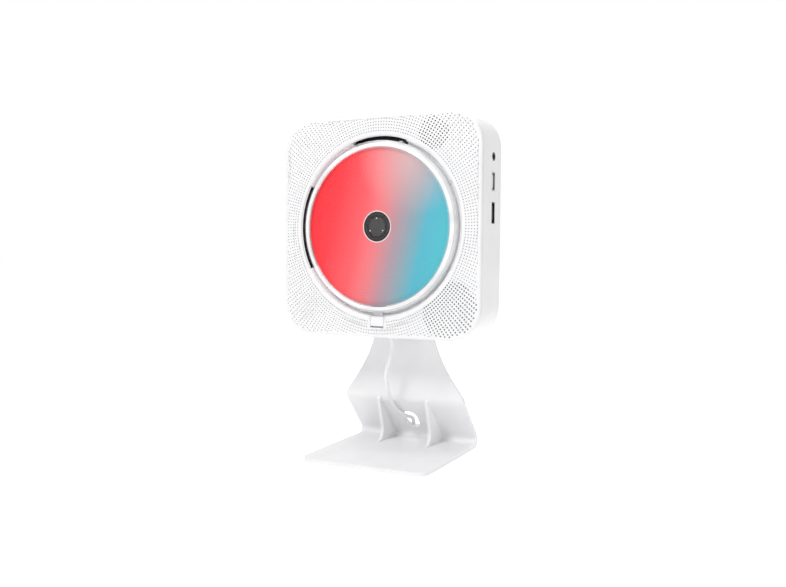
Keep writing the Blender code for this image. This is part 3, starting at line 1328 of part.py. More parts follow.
def button_board(parent):
    """The narrow board behind the buttons, with one small switch for each."""
    bottom, top, outer_x, inner_x = button_board_span()
    half = BUTTON_BOARD_WIDTH / 2
    low, high = (outer_x, bottom, -PORT_DEPTH - half), (inner_x, top, -PORT_DEPTH + half)
    board = block("button_board", low, high, circuit_board("button_board_green"), parent)
    half = SWITCH_SIZE / 2
    for number, up in enumerate(button_ups()):
        low = (outer_x - SWITCH_THICKNESS, up - half, -PORT_DEPTH - half)
        high = (outer_x + SINK, up + half, -PORT_DEPTH + half)
        joined(board, block("adder_switch_%d" % number, low, high, None, parent))
    return board


def cord_grommet(parent):
    """The strain relief in the bottom wall: flange inside, neck in the hole, tapered nose below."""
    end = CASE_WALL + GROMMET_NOSE_LENGTH
    profile = [
        (0.0, end),
        (GROMMET_NOSE_RADIUS, end),
        (GROMMET_NOSE_BASE_RADIUS, CASE_WALL),
        (GROMMET_NECK_RADIUS, CASE_WALL),
        (GROMMET_NECK_RADIUS, -GAP),
        (GROMMET_FLANGE_RADIUS, -GAP),
        (GROMMET_FLANGE_RADIUS, -GAP - GROMMET_FLANGE_THICKNESS),
        (0.0, -GAP - GROMMET_FLANGE_THICKNESS),
    ]
    place, turn = (0.0, -INSIDE, -GROMMET_DEPTH), (QUARTER, 0.0, 0.0)
    finish = white_plastic("cord_grommet_white")
    return turned("cord_grommet", profile, finish, parent, place, turn, steps=SMALL_ROUND_STEPS)


def hook_stud(parent):
    """The headed stud on the stand's panel: the player's keyhole hangs on it."""
    panel_rear = STAND_PANEL_MIDDLE - STAND_THICKNESS / 2
    head_rear = PLINTH_REAR + REAR_COVER_THICKNESS + GAP
    rivet = panel_rear - GAP
    profile = [
        (0.0, head_rear + STUD_HEAD_THICKNESS),
        (STUD_HEAD_RADIUS, head_rear + STUD_HEAD_THICKNESS),
        (STUD_HEAD_RADIUS, head_rear),
        (STUD_RADIUS, head_rear),
        (STUD_RADIUS, rivet),
        (STUD_HEAD_RADIUS, rivet),
        (STUD_HEAD_RADIUS, rivet - STUD_HEAD_THICKNESS),
        (0.0, rivet - STUD_HEAD_THICKNESS),
    ]
    return turned("hook_stud", profile, bright_metal("hook_stud_steel"), parent, steps=16)


def filleted(corners, radii, steps):
    """A path of (y, z) through corners, with an arc of its own radius at each inner corner."""
    path = [corners[0]]
    for index, (radius, count) in enumerate(zip(radii, steps), start=1):
        before, here, after = (Vector(corners[index + shift]) for shift in (-1, 0, 1))
        back, ahead = (before - here).normalized(), (after - here).normalized()
        half = back.angle(ahead) / 2
        centre = here + (back + ahead).normalized() * radius / math.sin(half)
        first = here + back * radius / math.tan(half) - centre
        last = here + ahead * radius / math.tan(half) - centre
        start = math.atan2(first.y, first.x)
        sweep = (math.atan2(last.y, last.x) - start + math.pi) % math.tau - math.pi
        path += arc(centre.x, centre.y, radius, start, start + sweep, count)
    return path + [corners[-1]]


def stand_corners():
    """The sheet's middle in section, as (y, z): front edge, foot, crest and top."""
    base = STAND_THICKNESS / 2
    top = FACE_CENTRE + UPWARD * PANEL_TOP_UP + OUTWARD * STAND_PANEL_MIDDLE
    crest_y = top.y - (top.z - CREST_HEIGHT) * math.tan(TILT)
    foot_y = crest_y + (CREST_HEIGHT - base) * math.tan(LOWER_LEAN)
    return [(STAND_FRONT, base), (foot_y, base), (crest_y, CREST_HEIGHT), (top.y, top.z)]


def stand_path():
    radii = (REAR_BEND_RADIUS, CREST_BEND_RADIUS)
    return filleted(stand_corners(), radii, (REAR_BEND_STEPS, CREST_BEND_STEPS))


def stand_half_width(from_front, height, from_top):
    """Half the sheet's width: full below the crest, then drawn in along a parabola to the waist."""
    full = STAND_WIDTH / 2
    left_to_waist = max(WAIST_ABOVE_CREST - (height - CREST_HEIGHT), 0.0)
    share = left_to_waist / (WAIST_ABOVE_CREST - TAPER_START)
    drawn_in = WAIST_HALF_WIDTH + (full - WAIST_HALF_WIDTH) * share**2
    softening = TAPER_SOFTNESS * math.log1p(math.exp(-abs(full - drawn_in) / TAPER_SOFTNESS))
    width = min(full, drawn_in) - softening
    for distance, radius in ((from_front, STAND_CORNER_RADIUS), (from_top, PANEL_TOP_CORNER)):
        inside = max(radius - distance, 0.0)
        width -= radius - math.sqrt(radius**2 - inside**2)
    return width


def stand_rows():
    """Rows of the sheet's middle surface, front edge to top: (half width, y, z)."""
    path = np.array(stand_path())
    lengths = np.concatenate([[0.0], np.cumsum(np.linalg.norm(np.diff(path, axis=0), axis=1))])
    total = lengths[-1]
    bow = 1 - np.cos(np.linspace(0.0, QUARTER, STAND_CORNER_STEPS + 1))
    taper = np.linspace(TAPER_START / 2, WAIST_ABOVE_CREST, TAPER_STEPS + 1)
    top_z = path[-1][1]
    stations = np.concatenate(
        [
            lengths,
            STAND_CORNER_RADIUS * bow,
            total - PANEL_TOP_CORNER * bow,
            total - (top_z - CREST_HEIGHT - taper) / math.cos(TILT),
        ]
    )
    rows = []
    for station in np.unique(np.round(stations, 6)):
        y, z = (np.interp(station, lengths, path[:, axis]) for axis in (0, 1))
        rows.append((stand_half_width(station, z, max(total - station, 0.0)), y, z))
    return rows


def rib_outline():
    """A rib in section: its free concave edge, then back along the middle of the sheet."""
    corners = stand_corners()
    foot_y, crest_y = corners[1][0], corners[2][0]
    edge = [(crest_y + a * (foot_y - crest_y), b * CREST_HEIGHT) for a, b in RIB_EDGE_SHARES]
    back = [point for point in stand_path()[1:-1] if point[1] < edge[0][1]]
    return edge + [(edge[-1][0], corners[0][1])] + back


def desk_stand(parent):
    """The bent sheet that carries the player: base, leaning panel, crest, waisted panel and ribs."""
    shape = bmesh.new()
    rows = [
        [shape.verts.new((side * half, y, z)) for side in (-1, 1)] for half, y, z in stand_rows()
    ]
    for (left, right), (next_left, next_right) in zip(rows, rows[1:]):
        shape.faces.new((left, right, next_right, next_left))
    stand = added("desk_stand", shape, white_plastic("desk_stand_white"))
    sheet = stand.modifiers.new("sheet", "SOLIDIFY")
    sheet.thickness = STAND_THICKNESS
    sheet.offset = 0.0
    sheet.use_even_offset = True
    for side in (1, -1):
        low_x = side * RIB_PLACE - RIB_THICKNESS / 2
        joined(stand, sideways_slab("adder_rib_%d" % side, rib_outline(), low_x, low_x + RIB_THICKNESS))
    crest_y = stand_corners()[2][0]
    hole_y = crest_y + (CREST_HEIGHT - CORD_HOLE_HEIGHT) * math.tan(LOWER_LEAN)
    upright = [(y, x) for x, y in round_ended_bar(0.0, 0.0, CORD_HOLE_LENGTH, CORD_HOLE_WIDTH, 8)]
    reach = STAND_THICKNESS / 2 + OVERRUN
    place, turn = (0.0, hole_y, CORD_HOLE_HEIGHT), (QUARTER + LOWER_LEAN, 0.0, 0.0)
    hole = slab("cutter_cord_hole", upright, -reach, reach, None, None, place, turn)
    ends = ((0, 0, STAND_PANEL_MIDDLE - reach), (0, 0, STAND_PANEL_MIDDLE + reach))
    stud = rod("cutter_stud", STUD_RADIUS + GAP, *ends, None, parent, 16)
    return smooth(cut(stand, hole, stud))


def smooth_route(route, step):
    """Points at an even step along a Catmull-Rom curve through a route's own points."""
    points = [Vector(point) for point in route]
    points = [2 * points[0] - points[1]] + points + [2 * points[-1] - points[-2]]
    dense = []
    for before, first, second, after in zip(points, points[1:], points[2:], points[3:]):
        for share in np.linspace(0.0, 1.0, 12, endpoint=False):
            dense.append(
                first
                + (second - before) * share / 2
                + (2 * before - 5 * first + 4 * second - after) * share**2 / 2
                + (3 * first - before - 3 * second + after) * share**3 / 2
            )
    dense = np.array(dense + [points[-2]])
    lengths = np.concatenate([[0.0], np.cumsum(np.linalg.norm(np.diff(dense, axis=0), axis=1))])
    stations = np.linspace(0.0, lengths[-1], round(lengths[-1] / step) + 1)
    return np.stack([np.interp(stations, lengths, dense[:, axis]) for axis in range(3)], axis=1)


def coil_points():
    """The coil, clockwise from above: each layer spirals in or out, then climbs in half a turn."""
    per_layer = COIL_TURNS_PER_LAYER + COIL_CLIMB_TURNS
    total = COIL_LAYERS * per_layer - COIL_CLIMB_TURNS
    points = []
    for turn in np.linspace(0.0, total, round(total * COIL_POINTS_PER_TURN) + 1):
        layer = min(int(turn / per_layer + SINK), COIL_LAYERS - 1)
        inside = turn - layer * per_layer
        share = min(inside / COIL_TURNS_PER_LAYER, 1.0)
        inward = share if layer % 2 == 0 else 1.0 - share
        climb = max(inside - COIL_TURNS_PER_LAYER, 0.0) / COIL_CLIMB_TURNS
        radius = COIL_OUTER_RADIUS + (COIL_INNER_RADIUS - COIL_OUTER_RADIUS) * inward
        height = COIL_FIRST_HEIGHT + COIL_LAYER_PITCH * (layer + (1 - math.cos(math.pi * climb)) / 2)
        angle = math.pi - math.tau * turn
        x, y = COIL_CENTRE_X + radius * math.cos(angle), COIL_CENTRE_Y + radius * math.sin(angle)
        points.append((x, y, height))
    start, end = points[0], points[-1]
    lead_in = (start[0], start[1] - COIL_LEAD, start[2])
    lead_out = (end[0], end[1] - COIL_LEAD, end[2])
    return np.array([lead_in] + points + [lead_out])


def least_gap(points):
    """The least clear distance between stretches of the cord that lie more than half a turn apart."""
    apart = COIL_POINTS_PER_TURN // 2
    gaps = [np.linalg.norm(points[i + apart :] - points[i], axis=1).min() for i in range(len(points) - apart)]
    return min(gaps) - CORD_DIAMETER


def cord(name, points, side_resolution):
    """A round cord along its points."""
    curve = bpy.data.curves.new(name, "CURVE")
    curve.dimensions = "3D"
    curve.bevel_depth = CORD_DIAMETER / 2
    curve.bevel_resolution = side_resolution
    curve.use_fill_caps = True
    spline = curve.splines.new("POLY")
    spline.points.add(len(points) - 1)
    for target, (x, y, z) in zip(spline.points, points):
        target.co = (x, y, z, 1.0)
    curve.materials.append(white_plastic(name + "_white"))
    tube = bpy.data.objects.new(name, curve)
    bpy.context.scene.collection.objects.link(tube)
    return tube


def plug():
    """The flat plug that lies on the coil: moulded body and metal shell."""
    place, turn = (PLUG_X, PLUG_Y, PLUG_HEIGHT), (0.0, 0.0, PLUG_HEADING)
    half = PLUG_BODY_WIDTH / 2
    shape = block_shape((0.0, -half, -PLUG_BODY_HEIGHT / 2), (PLUG_BODY_LENGTH, half, PLUG_BODY_HEIGHT / 2))
    bmesh.ops.bevel(shape, geom=shape.edges, offset=PLUG_EDGE_RADIUS, segments=2, profile=0.5, affect="EDGES")
    smooth(added("usb_plug_body", shape, white_plastic("plug_body_white"), None, place, turn))
    start = PLUG_BODY_LENGTH + GAP
    half, rise = PLUG_SHELL_WIDTH / 2, PLUG_SHELL_HEIGHT / 2
    shape = block_shape((start, -half, -rise), (start + PLUG_SHELL_LENGTH, half, rise))
    shell = added("usb_plug_shell", shape, bright_metal("plug_shell_steel"), None, place, turn)
    low = (start + SOCKET_BACK, -half + SOCKET_SHELL, 0.0)
    high = (start + PLUG_SHELL_LENGTH + OVERRUN, half - SOCKET_SHELL, rise - SOCKET_SHELL)
    return cut(shell, added("cutter_plug_mouth", block_shape(low, high), None, None, place, turn))


def main():
    clear_scene()
    player = empty("player_frame", FACE_CENTRE, (QUARTER - TILT, 0.0, 0.0))
    hinge = empty("cover_hinge_axis", (0.0, HINGE_UP, -HINGE_DEPTH), parent=player)
    front_panel(player)
    case_shell(player)
    rear_cover(player)
    for number, (x, y) in enumerate(screw_places()):
        rear_screw(number, x, y, player)
    disc_pan(player)
    dust_cover(hinge, player)
    hinge_pin(player)
    latch_button(player)
    disc(player)
    turntable(player)
    spindle_hub(player)
    for number, place in enumerate(ball_places()):
        chuck_ball(number, place, player)
    spindle_motor(player)
    deck_chassis(player)
    for number, (x, y) in enumerate(damper_places()):
        rubber_damper(number, x, y, player)
    pickup_sled(player)
    lens_holder(player)
    objective_lens(player)
    feed_gear(player)
    motor_pinion(player)
    sled_motor(player)
    main_board(player)
    audio_jack(player)
    usb_finish, hdmi_finish = bright_metal("usb_port_steel"), bright_metal("hdmi_port_steel")
    flat_socket("usb_port", USB_UP, USB_WIDTH, USB_HEIGHT, USB_LENGTH, usb_finish, player)
    flat_socket("hdmi_port", HDMI_UP, HDMI_WIDTH, HDMI_HEIGHT, HDMI_LENGTH, hdmi_finish, player)
    for name, side in (("left", -1), ("right", 1)):
        guide_rod("guide_rod_" + name, side, player)
        speaker_frame("speaker_frame_" + name, side, player)
        speaker_cone("speaker_cone_" + name, side, player)
    button_board(player)
    for number, up in enumerate(button_ups()):
        side_button(number, up, player)
    cord_grommet(player)
    hook_stud(player)
    desk_stand(player)
    cord("power_cord", smooth_route(CORD_ROUTE, CORD_STEP), 2)
    turns = coil_points()
    cord("power_cord_coil", turns, 1)
    cord("power_cord_tail", smooth_route(TAIL_ROUTE, CORD_STEP / 2), 2)
    plug()
    print("least gap between the coil's turns: %.2f mm" % (least_gap(turns) * 1000))


main()
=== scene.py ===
"""Looks for the square disc player on its desk stand: camera, cord, front, finishes and studio.

Plan coordinates are those of the part: x to the right, y up the tilted face, z out of the face, and
the face's middle is their origin. All lengths are in metres.
"""

import json
import math

import bmesh
import bpy
import numpy as np
from mathutils import Matrix, Vector


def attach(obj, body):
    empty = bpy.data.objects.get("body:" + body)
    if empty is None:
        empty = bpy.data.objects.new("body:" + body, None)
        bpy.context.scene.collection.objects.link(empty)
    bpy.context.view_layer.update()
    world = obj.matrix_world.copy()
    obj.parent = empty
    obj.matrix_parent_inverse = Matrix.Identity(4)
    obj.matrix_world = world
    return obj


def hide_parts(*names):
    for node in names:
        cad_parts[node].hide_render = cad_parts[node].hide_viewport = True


# The player's plan
FACE_CENTRE = Vector((0.0, -0.0172, 0.1783))
TILT = math.radians(2.5)
HALF_FACE = 0.084
FACE_CORNER_RADIUS = 0.025

# Camera, solved from the photograph
CAMERA_PLACE = Vector((0.322322, -0.603344, 0.176778))
CAMERA_FORWARD = Vector((-0.46597669, 0.88175207, -0.07334177))
CAMERA_UP = Vector((-0.02445102, 0.07002665, 0.99724541))
CAMERA_LENS = 40.4986
SENSOR_WIDTH = 36.0
CLIP_START = 0.01

# Perforations of the front: rings about the disc's middle, with spokes in line
FIRST_RING = 0.0722
RING_PITCH = 0.0022
RING_COUNT = 20
SPOKE_COUNT = 216
DIMPLE_RADIUS = 0.00050
DARK_DIMPLE_RADIUS = 0.00066
DIMPLE_SIDES = 8
DIMPLE_DEPTH = 0.0008
DIMPLE_OVERRUN = 0.0005
DIMPLE_EDGE_MARGIN = 0.0027
LATCH_CLEAR_X = 0.0074
LATCH_CLEAR_UP = (-0.0780, -0.0660)
# Areas as across, up and reach, where the dimples are wider and their floors painted near black
DARK_AREAS = ((0.060, -0.062, 0.022), (0.046, 0.068, 0.012))

# Cord: the part's own route, its coil and its tail
CORD_DIAMETER = 0.0030
CORD_STEP = 0.0025
CORD_ROUNDNESS = 4
ROUTE_SUBSTEPS = 12
CORD_ROUTE = (
    (0.0000, 0.0039, 0.0898),
    (-0.0001, 0.0038, 0.0868),
    (-0.0011, 0.0036, 0.0800),
    (-0.0030, 0.0032, 0.0712),
    (-0.0048, 0.0034, 0.0655),
    (-0.0060, 0.0046, 0.0590),
    (-0.0063, 0.0076, 0.0512),
    (-0.0071, 0.0120, 0.0435),
    (-0.0080, 0.0182, 0.0371),
    (-0.0083, 0.0254, 0.0308),
    (-0.0060, 0.0285, 0.0273),
    (-0.0036, 0.0312, 0.0250),
    (-0.0024, 0.0350, 0.0232),
    (-0.0020, 0.0395, 0.0219),
    (-0.0024, 0.0436, 0.0198),
    (-0.0034, 0.0474, 0.0164),
    (-0.0046, 0.0508, 0.0122),
    (-0.0060, 0.0544, 0.0080),
    (-0.0076, 0.0584, 0.0044),
    (-0.0088, 0.0634, 0.0022),
    (-0.0092, 0.0690, 0.0016),
    (-0.0092, 0.0742, 0.00155),
)
TAIL_ROUTE = (
    (0.0298, 0.0742, 0.01355),
    (0.0298, 0.0726, 0.01362),
    (0.0291, 0.0702, 0.0145),
    (0.0276, 0.0682, 0.0159),
    (0.0253, 0.0669, 0.0174),
    (0.0224, 0.0664, 0.0186),
    (0.0193, 0.0669, 0.01925),
    (0.01653, 0.06837, 0.01935),
    (0.01441, 0.07049, 0.01935),
)
COIL_CENTRE = (0.0103, 0.0780)
COIL_OUTER_RADIUS = 0.0195
COIL_INNER_RADIUS = 0.0115
COIL_FIRST_HEIGHT = 0.00155
COIL_LAYER_PITCH = 0.0040
COIL_LAYERS = 4
COIL_TURNS_PER_LAYER = 2
COIL_CLIMB_TURNS = 0.5
COIL_POINTS_PER_TURN = 40
LAYER_SLACK = 1e-9

# Black trough behind the finger recesses: painted shade, a dark sheet for the unlit inside seen through
# them
TROUGH_INNER_RADIUS = 0.0600
TROUGH_OUTER_RADIUS = 0.0755
TROUGH_FRONT = -0.0135
TROUGH_RIM = -0.0082
TROUGH_WALL = 0.0005
TROUGH_STEPS = 144

# White liners that carry the opening's rounded edge across the side recesses
OPENING_RADIUS = 0.0667
ROUNDING_RADIUS = 0.0041
LINER_OUTER_RADIUS = 0.0687
LINER_REAR = -0.0068
LINER_FLOOR_FRONT = -0.0050
LINER_FLOOR_RADIUS = 0.0621
LINER_LEFT_EDGE = -0.0011
# Dark wall of the left recess: painted shade
SHADE_WALL_FRONT = -0.0012
SHADE_WALL_REAR = -0.0078
LINER_HALF_ANGLE = math.radians(27.6)
LINER_STEPS = 48
ROUNDING_STEPS = 9

# Clear cover: painted highlight and reflection, as how milky it looks at each radius from its flat front
# over its shoulder to its edge
COVER_MIDDLE = (0.0012, -0.0003)
# The painted white edge on the right: the x over which its alpha rises, and its most alpha
RIGHT_SHEEN_ACROSS = (-0.030, 0.010)
RIGHT_SHEEN_ALPHA = 0.62
COVER_SPAN = (0.0580, 0.0660)
PAINTED_SHEEN_ALPHAS = (
    (0.08, 0.015),
    (0.20, 0.16),
    (0.26, 0.16),
    (0.31, 0.84),
    (0.60, 0.84),
    (0.66, 0.06),
)
# Where the painted white edge on the right begins beyond the shoulder, and how soon it is full
RIGHT_SHEEN_SHARE = 0.62
RIGHT_SHEEN_FADE_SHARE = 0.03
# Streaky white of the painted sheen
SHEEN_STREAK_SCALE = 26.0
SHEEN_STREAK_STRETCH = (1.0, 1.0, 2.5)
SHEEN_STREAK_SPAN = (0.35, 0.55)
COVER_SMEAR_SCALE = 60.0
COVER_ROUGHNESS = (0.03, 0.07)
COVER_SHINE_SHARES = (0.2, 0.31)
COVER_SHINE = (0.10, 0.45)
ACRYLIC_INDEX = 1.49

# Disc print
DISC_RADIUS = 0.060
CLEAR_CENTRE_RADIUS = 0.0113
LIGHT_RING_RADIUS = 0.0120
CENTRE_LINE_PITCH = 0.0019
PRINT_DIRECTION = (0.96, -0.24, 0.0)
PRINT_GRAIN = 0.0004
PALE_PLACE = (0.029, 0.053, 0.001)
PALE_SPAN = (0.006, 0.046)
PALE_STRENGTH = 0.62
PALE_COLOUR = (222, 190, 190)
PRINT_GRAIN_SCALE = 2400.0
PRINT_STOPS = (
    (0.02, (254, 26, 42)),
    (0.18, (254, 48, 60)),
    (0.38, (250, 88, 95)),
    (0.52, (228, 122, 128)),
    (0.63, (176, 144, 154)),
    (0.73, (134, 160, 172)),
    (0.83, (80, 176, 196)),
    (0.95, (76, 186, 200)),
)
CENTRE_COLOUR = (12, 10, 10)
CENTRE_LINE_COLOUR = (112, 100, 98)
CENTRE_LINE_SHARE = 0.86
CENTRE_BREAK_SCALE = 130.0
LIGHT_RING_COLOUR = (226, 220, 220)

# Finishes: scales are in waves a metre, depths in metres, spans from low to high
NOISE_SPAN = (0.3, 0.7)
MOULDED_GRAIN_SCALE = 2600.0
MOULDED_DEPTH = 0.00002
MOULDED_BUMP = 0.25
MOULDED_DRIFT_SCALE = 38.0
MOULDED_GLOSS_SCALE = 210.0
MOULDED_GLOSS_DRIFT = 0.05
MOULDED_DIM_SHARES = (0.955, 0.955, 0.96)
JACKET_GRAIN_SCALE = 1500.0
JACKET_DEPTH = 0.00003
METAL_LINE_SCALE = 420.0
METAL_GLOSS_DRIFT = (0.08, 0.1)
METAL_DEPTH = 0.000015
METAL_BUMP = 0.3
LINES_ALONG_FACE = (1.0, 1.0, 30.0)
LINES_THROUGH_FACE = (1.0, 30.0, 1.0)
RUBBER_GRAIN_SCALE = 1800.0
RUBBER_ROUGHNESS = (0.68, 0.85)
RUBBER_DEPTH = 0.00004
PAPER_FIBRE_SCALE = 900.0
PAPER_STRETCH = (1.0, 3.0, 1.0)
PAPER_DEPTH = 0.0001
PAPER_BUMP = 0.6
BOARD_CELL_SCALE = 260.0
BOARD_TRACK_SHARE = 0.03
BOARD_TRACK_SPAN = (0.2, 0.8)
BOARD_DEPTH = 0.00003
# Painted shade on the dimple floors: a mottled grey for the shade inside the holes, and near black floors
# in the dark areas
HOLE_MOTTLE_SCALE = 500.0
DEEPER_SHADE_SHARE = 0.8
PAINTED_HOLE_SHADE_LEVEL = 178
DARK_FLOOR_LEVEL = 14

# Shading of meshes: corners nearer than the weld become one, and steeper edges stay sharp
WELD_DISTANCE = 0.000002
SHARP_ANGLE = math.radians(34)
FACING_LEAST = 0.9
FLOOR_TOLERANCE = 0.0001

# Studio: lamps as name, place, target, size and power
ROOM_STRENGTH = 0.36
ROOM_COLOUR = (1.0, 0.998, 0.995, 1.0)
FLOOR_REACH = 4
FLOOR_COLOUR = (0.86, 0.86, 0.86, 1.0)
FLOOR_GLOW = 0.24
FLOOR_GLOW_SEEN = 0.5
LAMPS = (
    ("key", (-0.30, -0.95, 1.05), (0, 0, 0.12), (0.36, 0.36), 7.8),
    ("fill", (1.00, -0.60, 0.40), (0, 0, 0.12), (0.8, 0.8), 2.3),
    ("top", (0.0, 0.15, 1.20), (0, 0, 0.1), (1.0, 1.0), 8.6),
)


def linear(red, green, blue):
    """A screen colour of 0 to 255 as the linear colour that a shader takes."""
    shares = np.array([red, green, blue]) / 255.0
    low = shares / 12.92
    high = ((shares + 0.055) / 1.055) ** 2.4
    return (*np.where(shares <= 0.04045, low, high).tolist(), 1.0)


OUTWARD = Vector((0.0, -math.cos(TILT), math.sin(TILT)))
UPWARD = Vector((0.0, math.sin(TILT), math.cos(TILT)))
PLAN_AXES = np.array([(1.0, 0.0, 0.0), tuple(UPWARD), tuple(OUTWARD)])


def from_plan(points):
    """Points of the plan as points of the row frame: the face's middle plus each coordinate's axis."""
    return np.asarray(points) @ PLAN_AXES + np.array(FACE_CENTRE)


def to_plan(points):
    """Points of the row frame as points of the plan."""
    return (np.asarray(points) - np.array(FACE_CENTRE)) @ PLAN_AXES.T


def mesh_piece(name, points, faces):
    """A mesh object from arrays, at the origin."""
    mesh = bpy.data.meshes.new(name)
    mesh.from_pydata(np.asarray(points).tolist(), [], faces)
    mesh.update()
    piece = bpy.data.objects.new(name, mesh)
    bpy.context.scene.collection.objects.link(piece)
    return piece


# Camera and cord


def add_camera():
    data = bpy.data.cameras.new("camera")
    data.lens = CAMERA_LENS
    data.sensor_width = SENSOR_WIDTH
    data.sensor_fit = "HORIZONTAL"
    data.clip_start = CLIP_START
    camera = bpy.data.objects.new("camera", data)
    bpy.context.scene.collection.objects.link(camera)
    right = CAMERA_FORWARD.cross(CAMERA_UP).normalized()
    up = right.cross(CAMERA_FORWARD).normalized()
    turn = Matrix((right, up, -CAMERA_FORWARD.normalized())).transposed().to_4x4()
    camera.matrix_world = Matrix.Translation(CAMERA_PLACE) @ turn
    bpy.context.scene.camera = camera


def smooth_route(route):
    """A curve through a route's points: between two of them, the cubic whose slope at each point is
    half the step from the point before it to the point after it."""
    points = np.array(route)
    points = np.vstack([2 * points[0] - points[1], points, 2 * points[-1] - points[-2]])
    share = np.linspace(0.0, 1.0, ROUTE_SUBSTEPS, endpoint=False)[None, :, None]
    before, first, second, after = (points[i : len(points) - 3 + i, None, :] for i in range(4))
    dense = (
        first
        + (second - before) * share / 2
        + (2 * before - 5 * first + 4 * second - after) * share**2 / 2
        + (3 * first - before - 3 * second + after) * share**3 / 2
    )
    return np.vstack([dense.reshape(-1, 3), points[-2]])


def coil_turns():
    """The coil: the angle runs clockwise, the radius goes from the outer to the inner turn and back
    from layer to layer, and the height climbs by a half cosine wave in half a turn between layers."""
    per_layer = COIL_TURNS_PER_LAYER + COIL_CLIMB_TURNS
    total = COIL_LAYERS * per_layer - COIL_CLIMB_TURNS
    turn = np.linspace(0.0, total, round(total * COIL_POINTS_PER_TURN) + 1)
    layer = np.minimum((turn / per_layer + LAYER_SLACK).astype(int), COIL_LAYERS - 1)
    inside = turn - layer * per_layer
    share = np.minimum(inside / COIL_TURNS_PER_LAYER, 1.0)
    inward = np.where(layer % 2 == 0, share, 1.0 - share)
    climb = np.maximum(inside - COIL_TURNS_PER_LAYER, 0.0) / COIL_CLIMB_TURNS
    radius = COIL_OUTER_RADIUS + (COIL_INNER_RADIUS - COIL_OUTER_RADIUS) * inward
    height = COIL_FIRST_HEIGHT + COIL_LAYER_PITCH * (layer + (1 - np.cos(math.pi * climb)) / 2)
    angle = math.pi - math.tau * turn
    x = COIL_CENTRE[0] + radius * np.cos(angle)
    y = COIL_CENTRE[1] + radius * np.sin(angle)
    return np.stack([x, y, height], axis=1)


def evenly(points, step):
    """The same line with its points an even step apart."""
    lengths = np.concatenate([[0.0], np.cumsum(np.linalg.norm(np.diff(points, axis=0), axis=1))])
    stations = np.linspace(0.0, lengths[-1], round(lengths[-1] / step) + 1)
    return np.stack([np.interp(stations, lengths, points[:, axis]) for axis in range(3)], axis=1)


def add_cord(finish):
    """One round lead along the free route, the coil and the tail."""
    route = np.vstack([smooth_route(CORD_ROUTE), coil_turns(), smooth_route(TAIL_ROUTE)])
    points = evenly(route, CORD_STEP)
    curve = bpy.data.curves.new("power_lead", "CURVE")
    curve.dimensions = "3D"
    curve.bevel_depth = CORD_DIAMETER / 2
    curve.bevel_resolution = CORD_ROUNDNESS
    curve.use_fill_caps = True
    spline = curve.splines.new("POLY")
    spline.points.add(len(points) - 1)
    spline.points.foreach_set("co", np.hstack([points, np.ones((len(points), 1))]).ravel())
    spline.use_smooth = True
    curve.materials.append(finish)
    lead = bpy.data.objects.new("power_lead", curve)
    bpy.context.scene.collection.objects.link(lead)
    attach(lead, "player_and_stand")
    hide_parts("power_cord", "power_cord_coil", "power_cord_tail")


# Finishes


class Finish:
    """A material's node tree, with short ways to add and link nodes."""

    def __init__(self, name):
        self.material = bpy.data.materials.new(name)
        self.material.use_nodes = True
        self.tree = self.material.node_tree
        self.shader = self.tree.nodes["Principled BSDF"]
        self.place = self.add("ShaderNodeTexCoord").outputs["Object"]

    def add(self, kind, inputs=None, **settings):
        node = self.tree.nodes.new(kind)
        for name, value in settings.items():
            setattr(node, name, value)
        for key, value in (inputs or {}).items():
            if isinstance(value, bpy.types.NodeSocket):
                self.tree.links.new(value, node.inputs[key])
            else:
                node.inputs[key].default_value = value
        return node

    def set(self, **values):
        for name, value in values.items():
            self.shader.inputs[name.replace("_", " ")].default_value = value

    def feed(self, name, output):
        self.tree.links.new(output, self.shader.inputs[name])

    def noise(self, scale, detail=3.0, stretch=(1.0, 1.0, 1.0)):
        place = self.place
        if stretch != (1.0, 1.0, 1.0):
            place = self.add("ShaderNodeMapping", {"Vector": place, "Scale": stretch}).outputs["Vector"]
        inputs = {"Vector": place, "Scale": scale, "Detail": detail}
        return self.add("ShaderNodeTexNoise", inputs).outputs["Fac"]

    def spread(self, value, low, high):
        """A noise carried over to a span of numbers."""
        return self.span(value, NOISE_SPAN, (low, high))

    def span(self, value, source, target):
        """A value carried over from one span of numbers to another, and held at its ends."""
        inputs = {"Value": value, "From Min": source[0], "From Max": source[1]}
        inputs.update({"To Min": target[0], "To Max": target[1]})
        return self.add("ShaderNodeMapRange", inputs).outputs["Result"]

    def ramp(self, value, *stops):
        node = self.add("ShaderNodeValToRGB", {"Fac": value})
        elements = node.color_ramp.elements
        while len(elements) < len(stops):
            elements.new(1.0)
        for element, (place, colour) in zip(elements, stops):
            element.position = place
            element.color = colour
        return node.outputs["Color"]

    def mixed(self, share, first, second):
        """The first colour where the share is 0 and the second where it is 1."""
        inputs = {"Factor": share, 6: first, 7: second}
        return self.add("ShaderNodeMix", inputs, data_type="RGBA").outputs[2]

    def bump(self, height, depth, strength=0.5):
        inputs = {"Height": height, "Distance": depth, "Strength": strength}
        self.feed("Normal", self.add("ShaderNodeBump", inputs).outputs["Normal"])

    def plan(self):
        """The piece's own place, in plan coordinates."""
        turn = (math.pi / 2 - TILT, 0.0, 0.0)
        inputs = {"Vector": self.place, "Location": tuple(FACE_CENTRE), "Rotation": turn}
        return self.add("ShaderNodeMapping", inputs, vector_type="TEXTURE").outputs["Vector"]

    def plan_radius(self, middle=(0.0, 0.0)):
        """The distance from the disc's axis, or from a line beside it."""
        from_middle = {0: self.plan(), 1: (*middle, 0.0)}
        moved = self.add("ShaderNodeVectorMath", from_middle, operation="SUBTRACT").outputs["Vector"]
        flat = self.add("ShaderNodeVectorMath", {0: moved, 1: (1.0, 1.0, 0.0)}, operation="MULTIPLY")
        length = self.add("ShaderNodeVectorMath", {0: flat.outputs["Vector"]}, operation="LENGTH")
        return length.outputs["Value"]


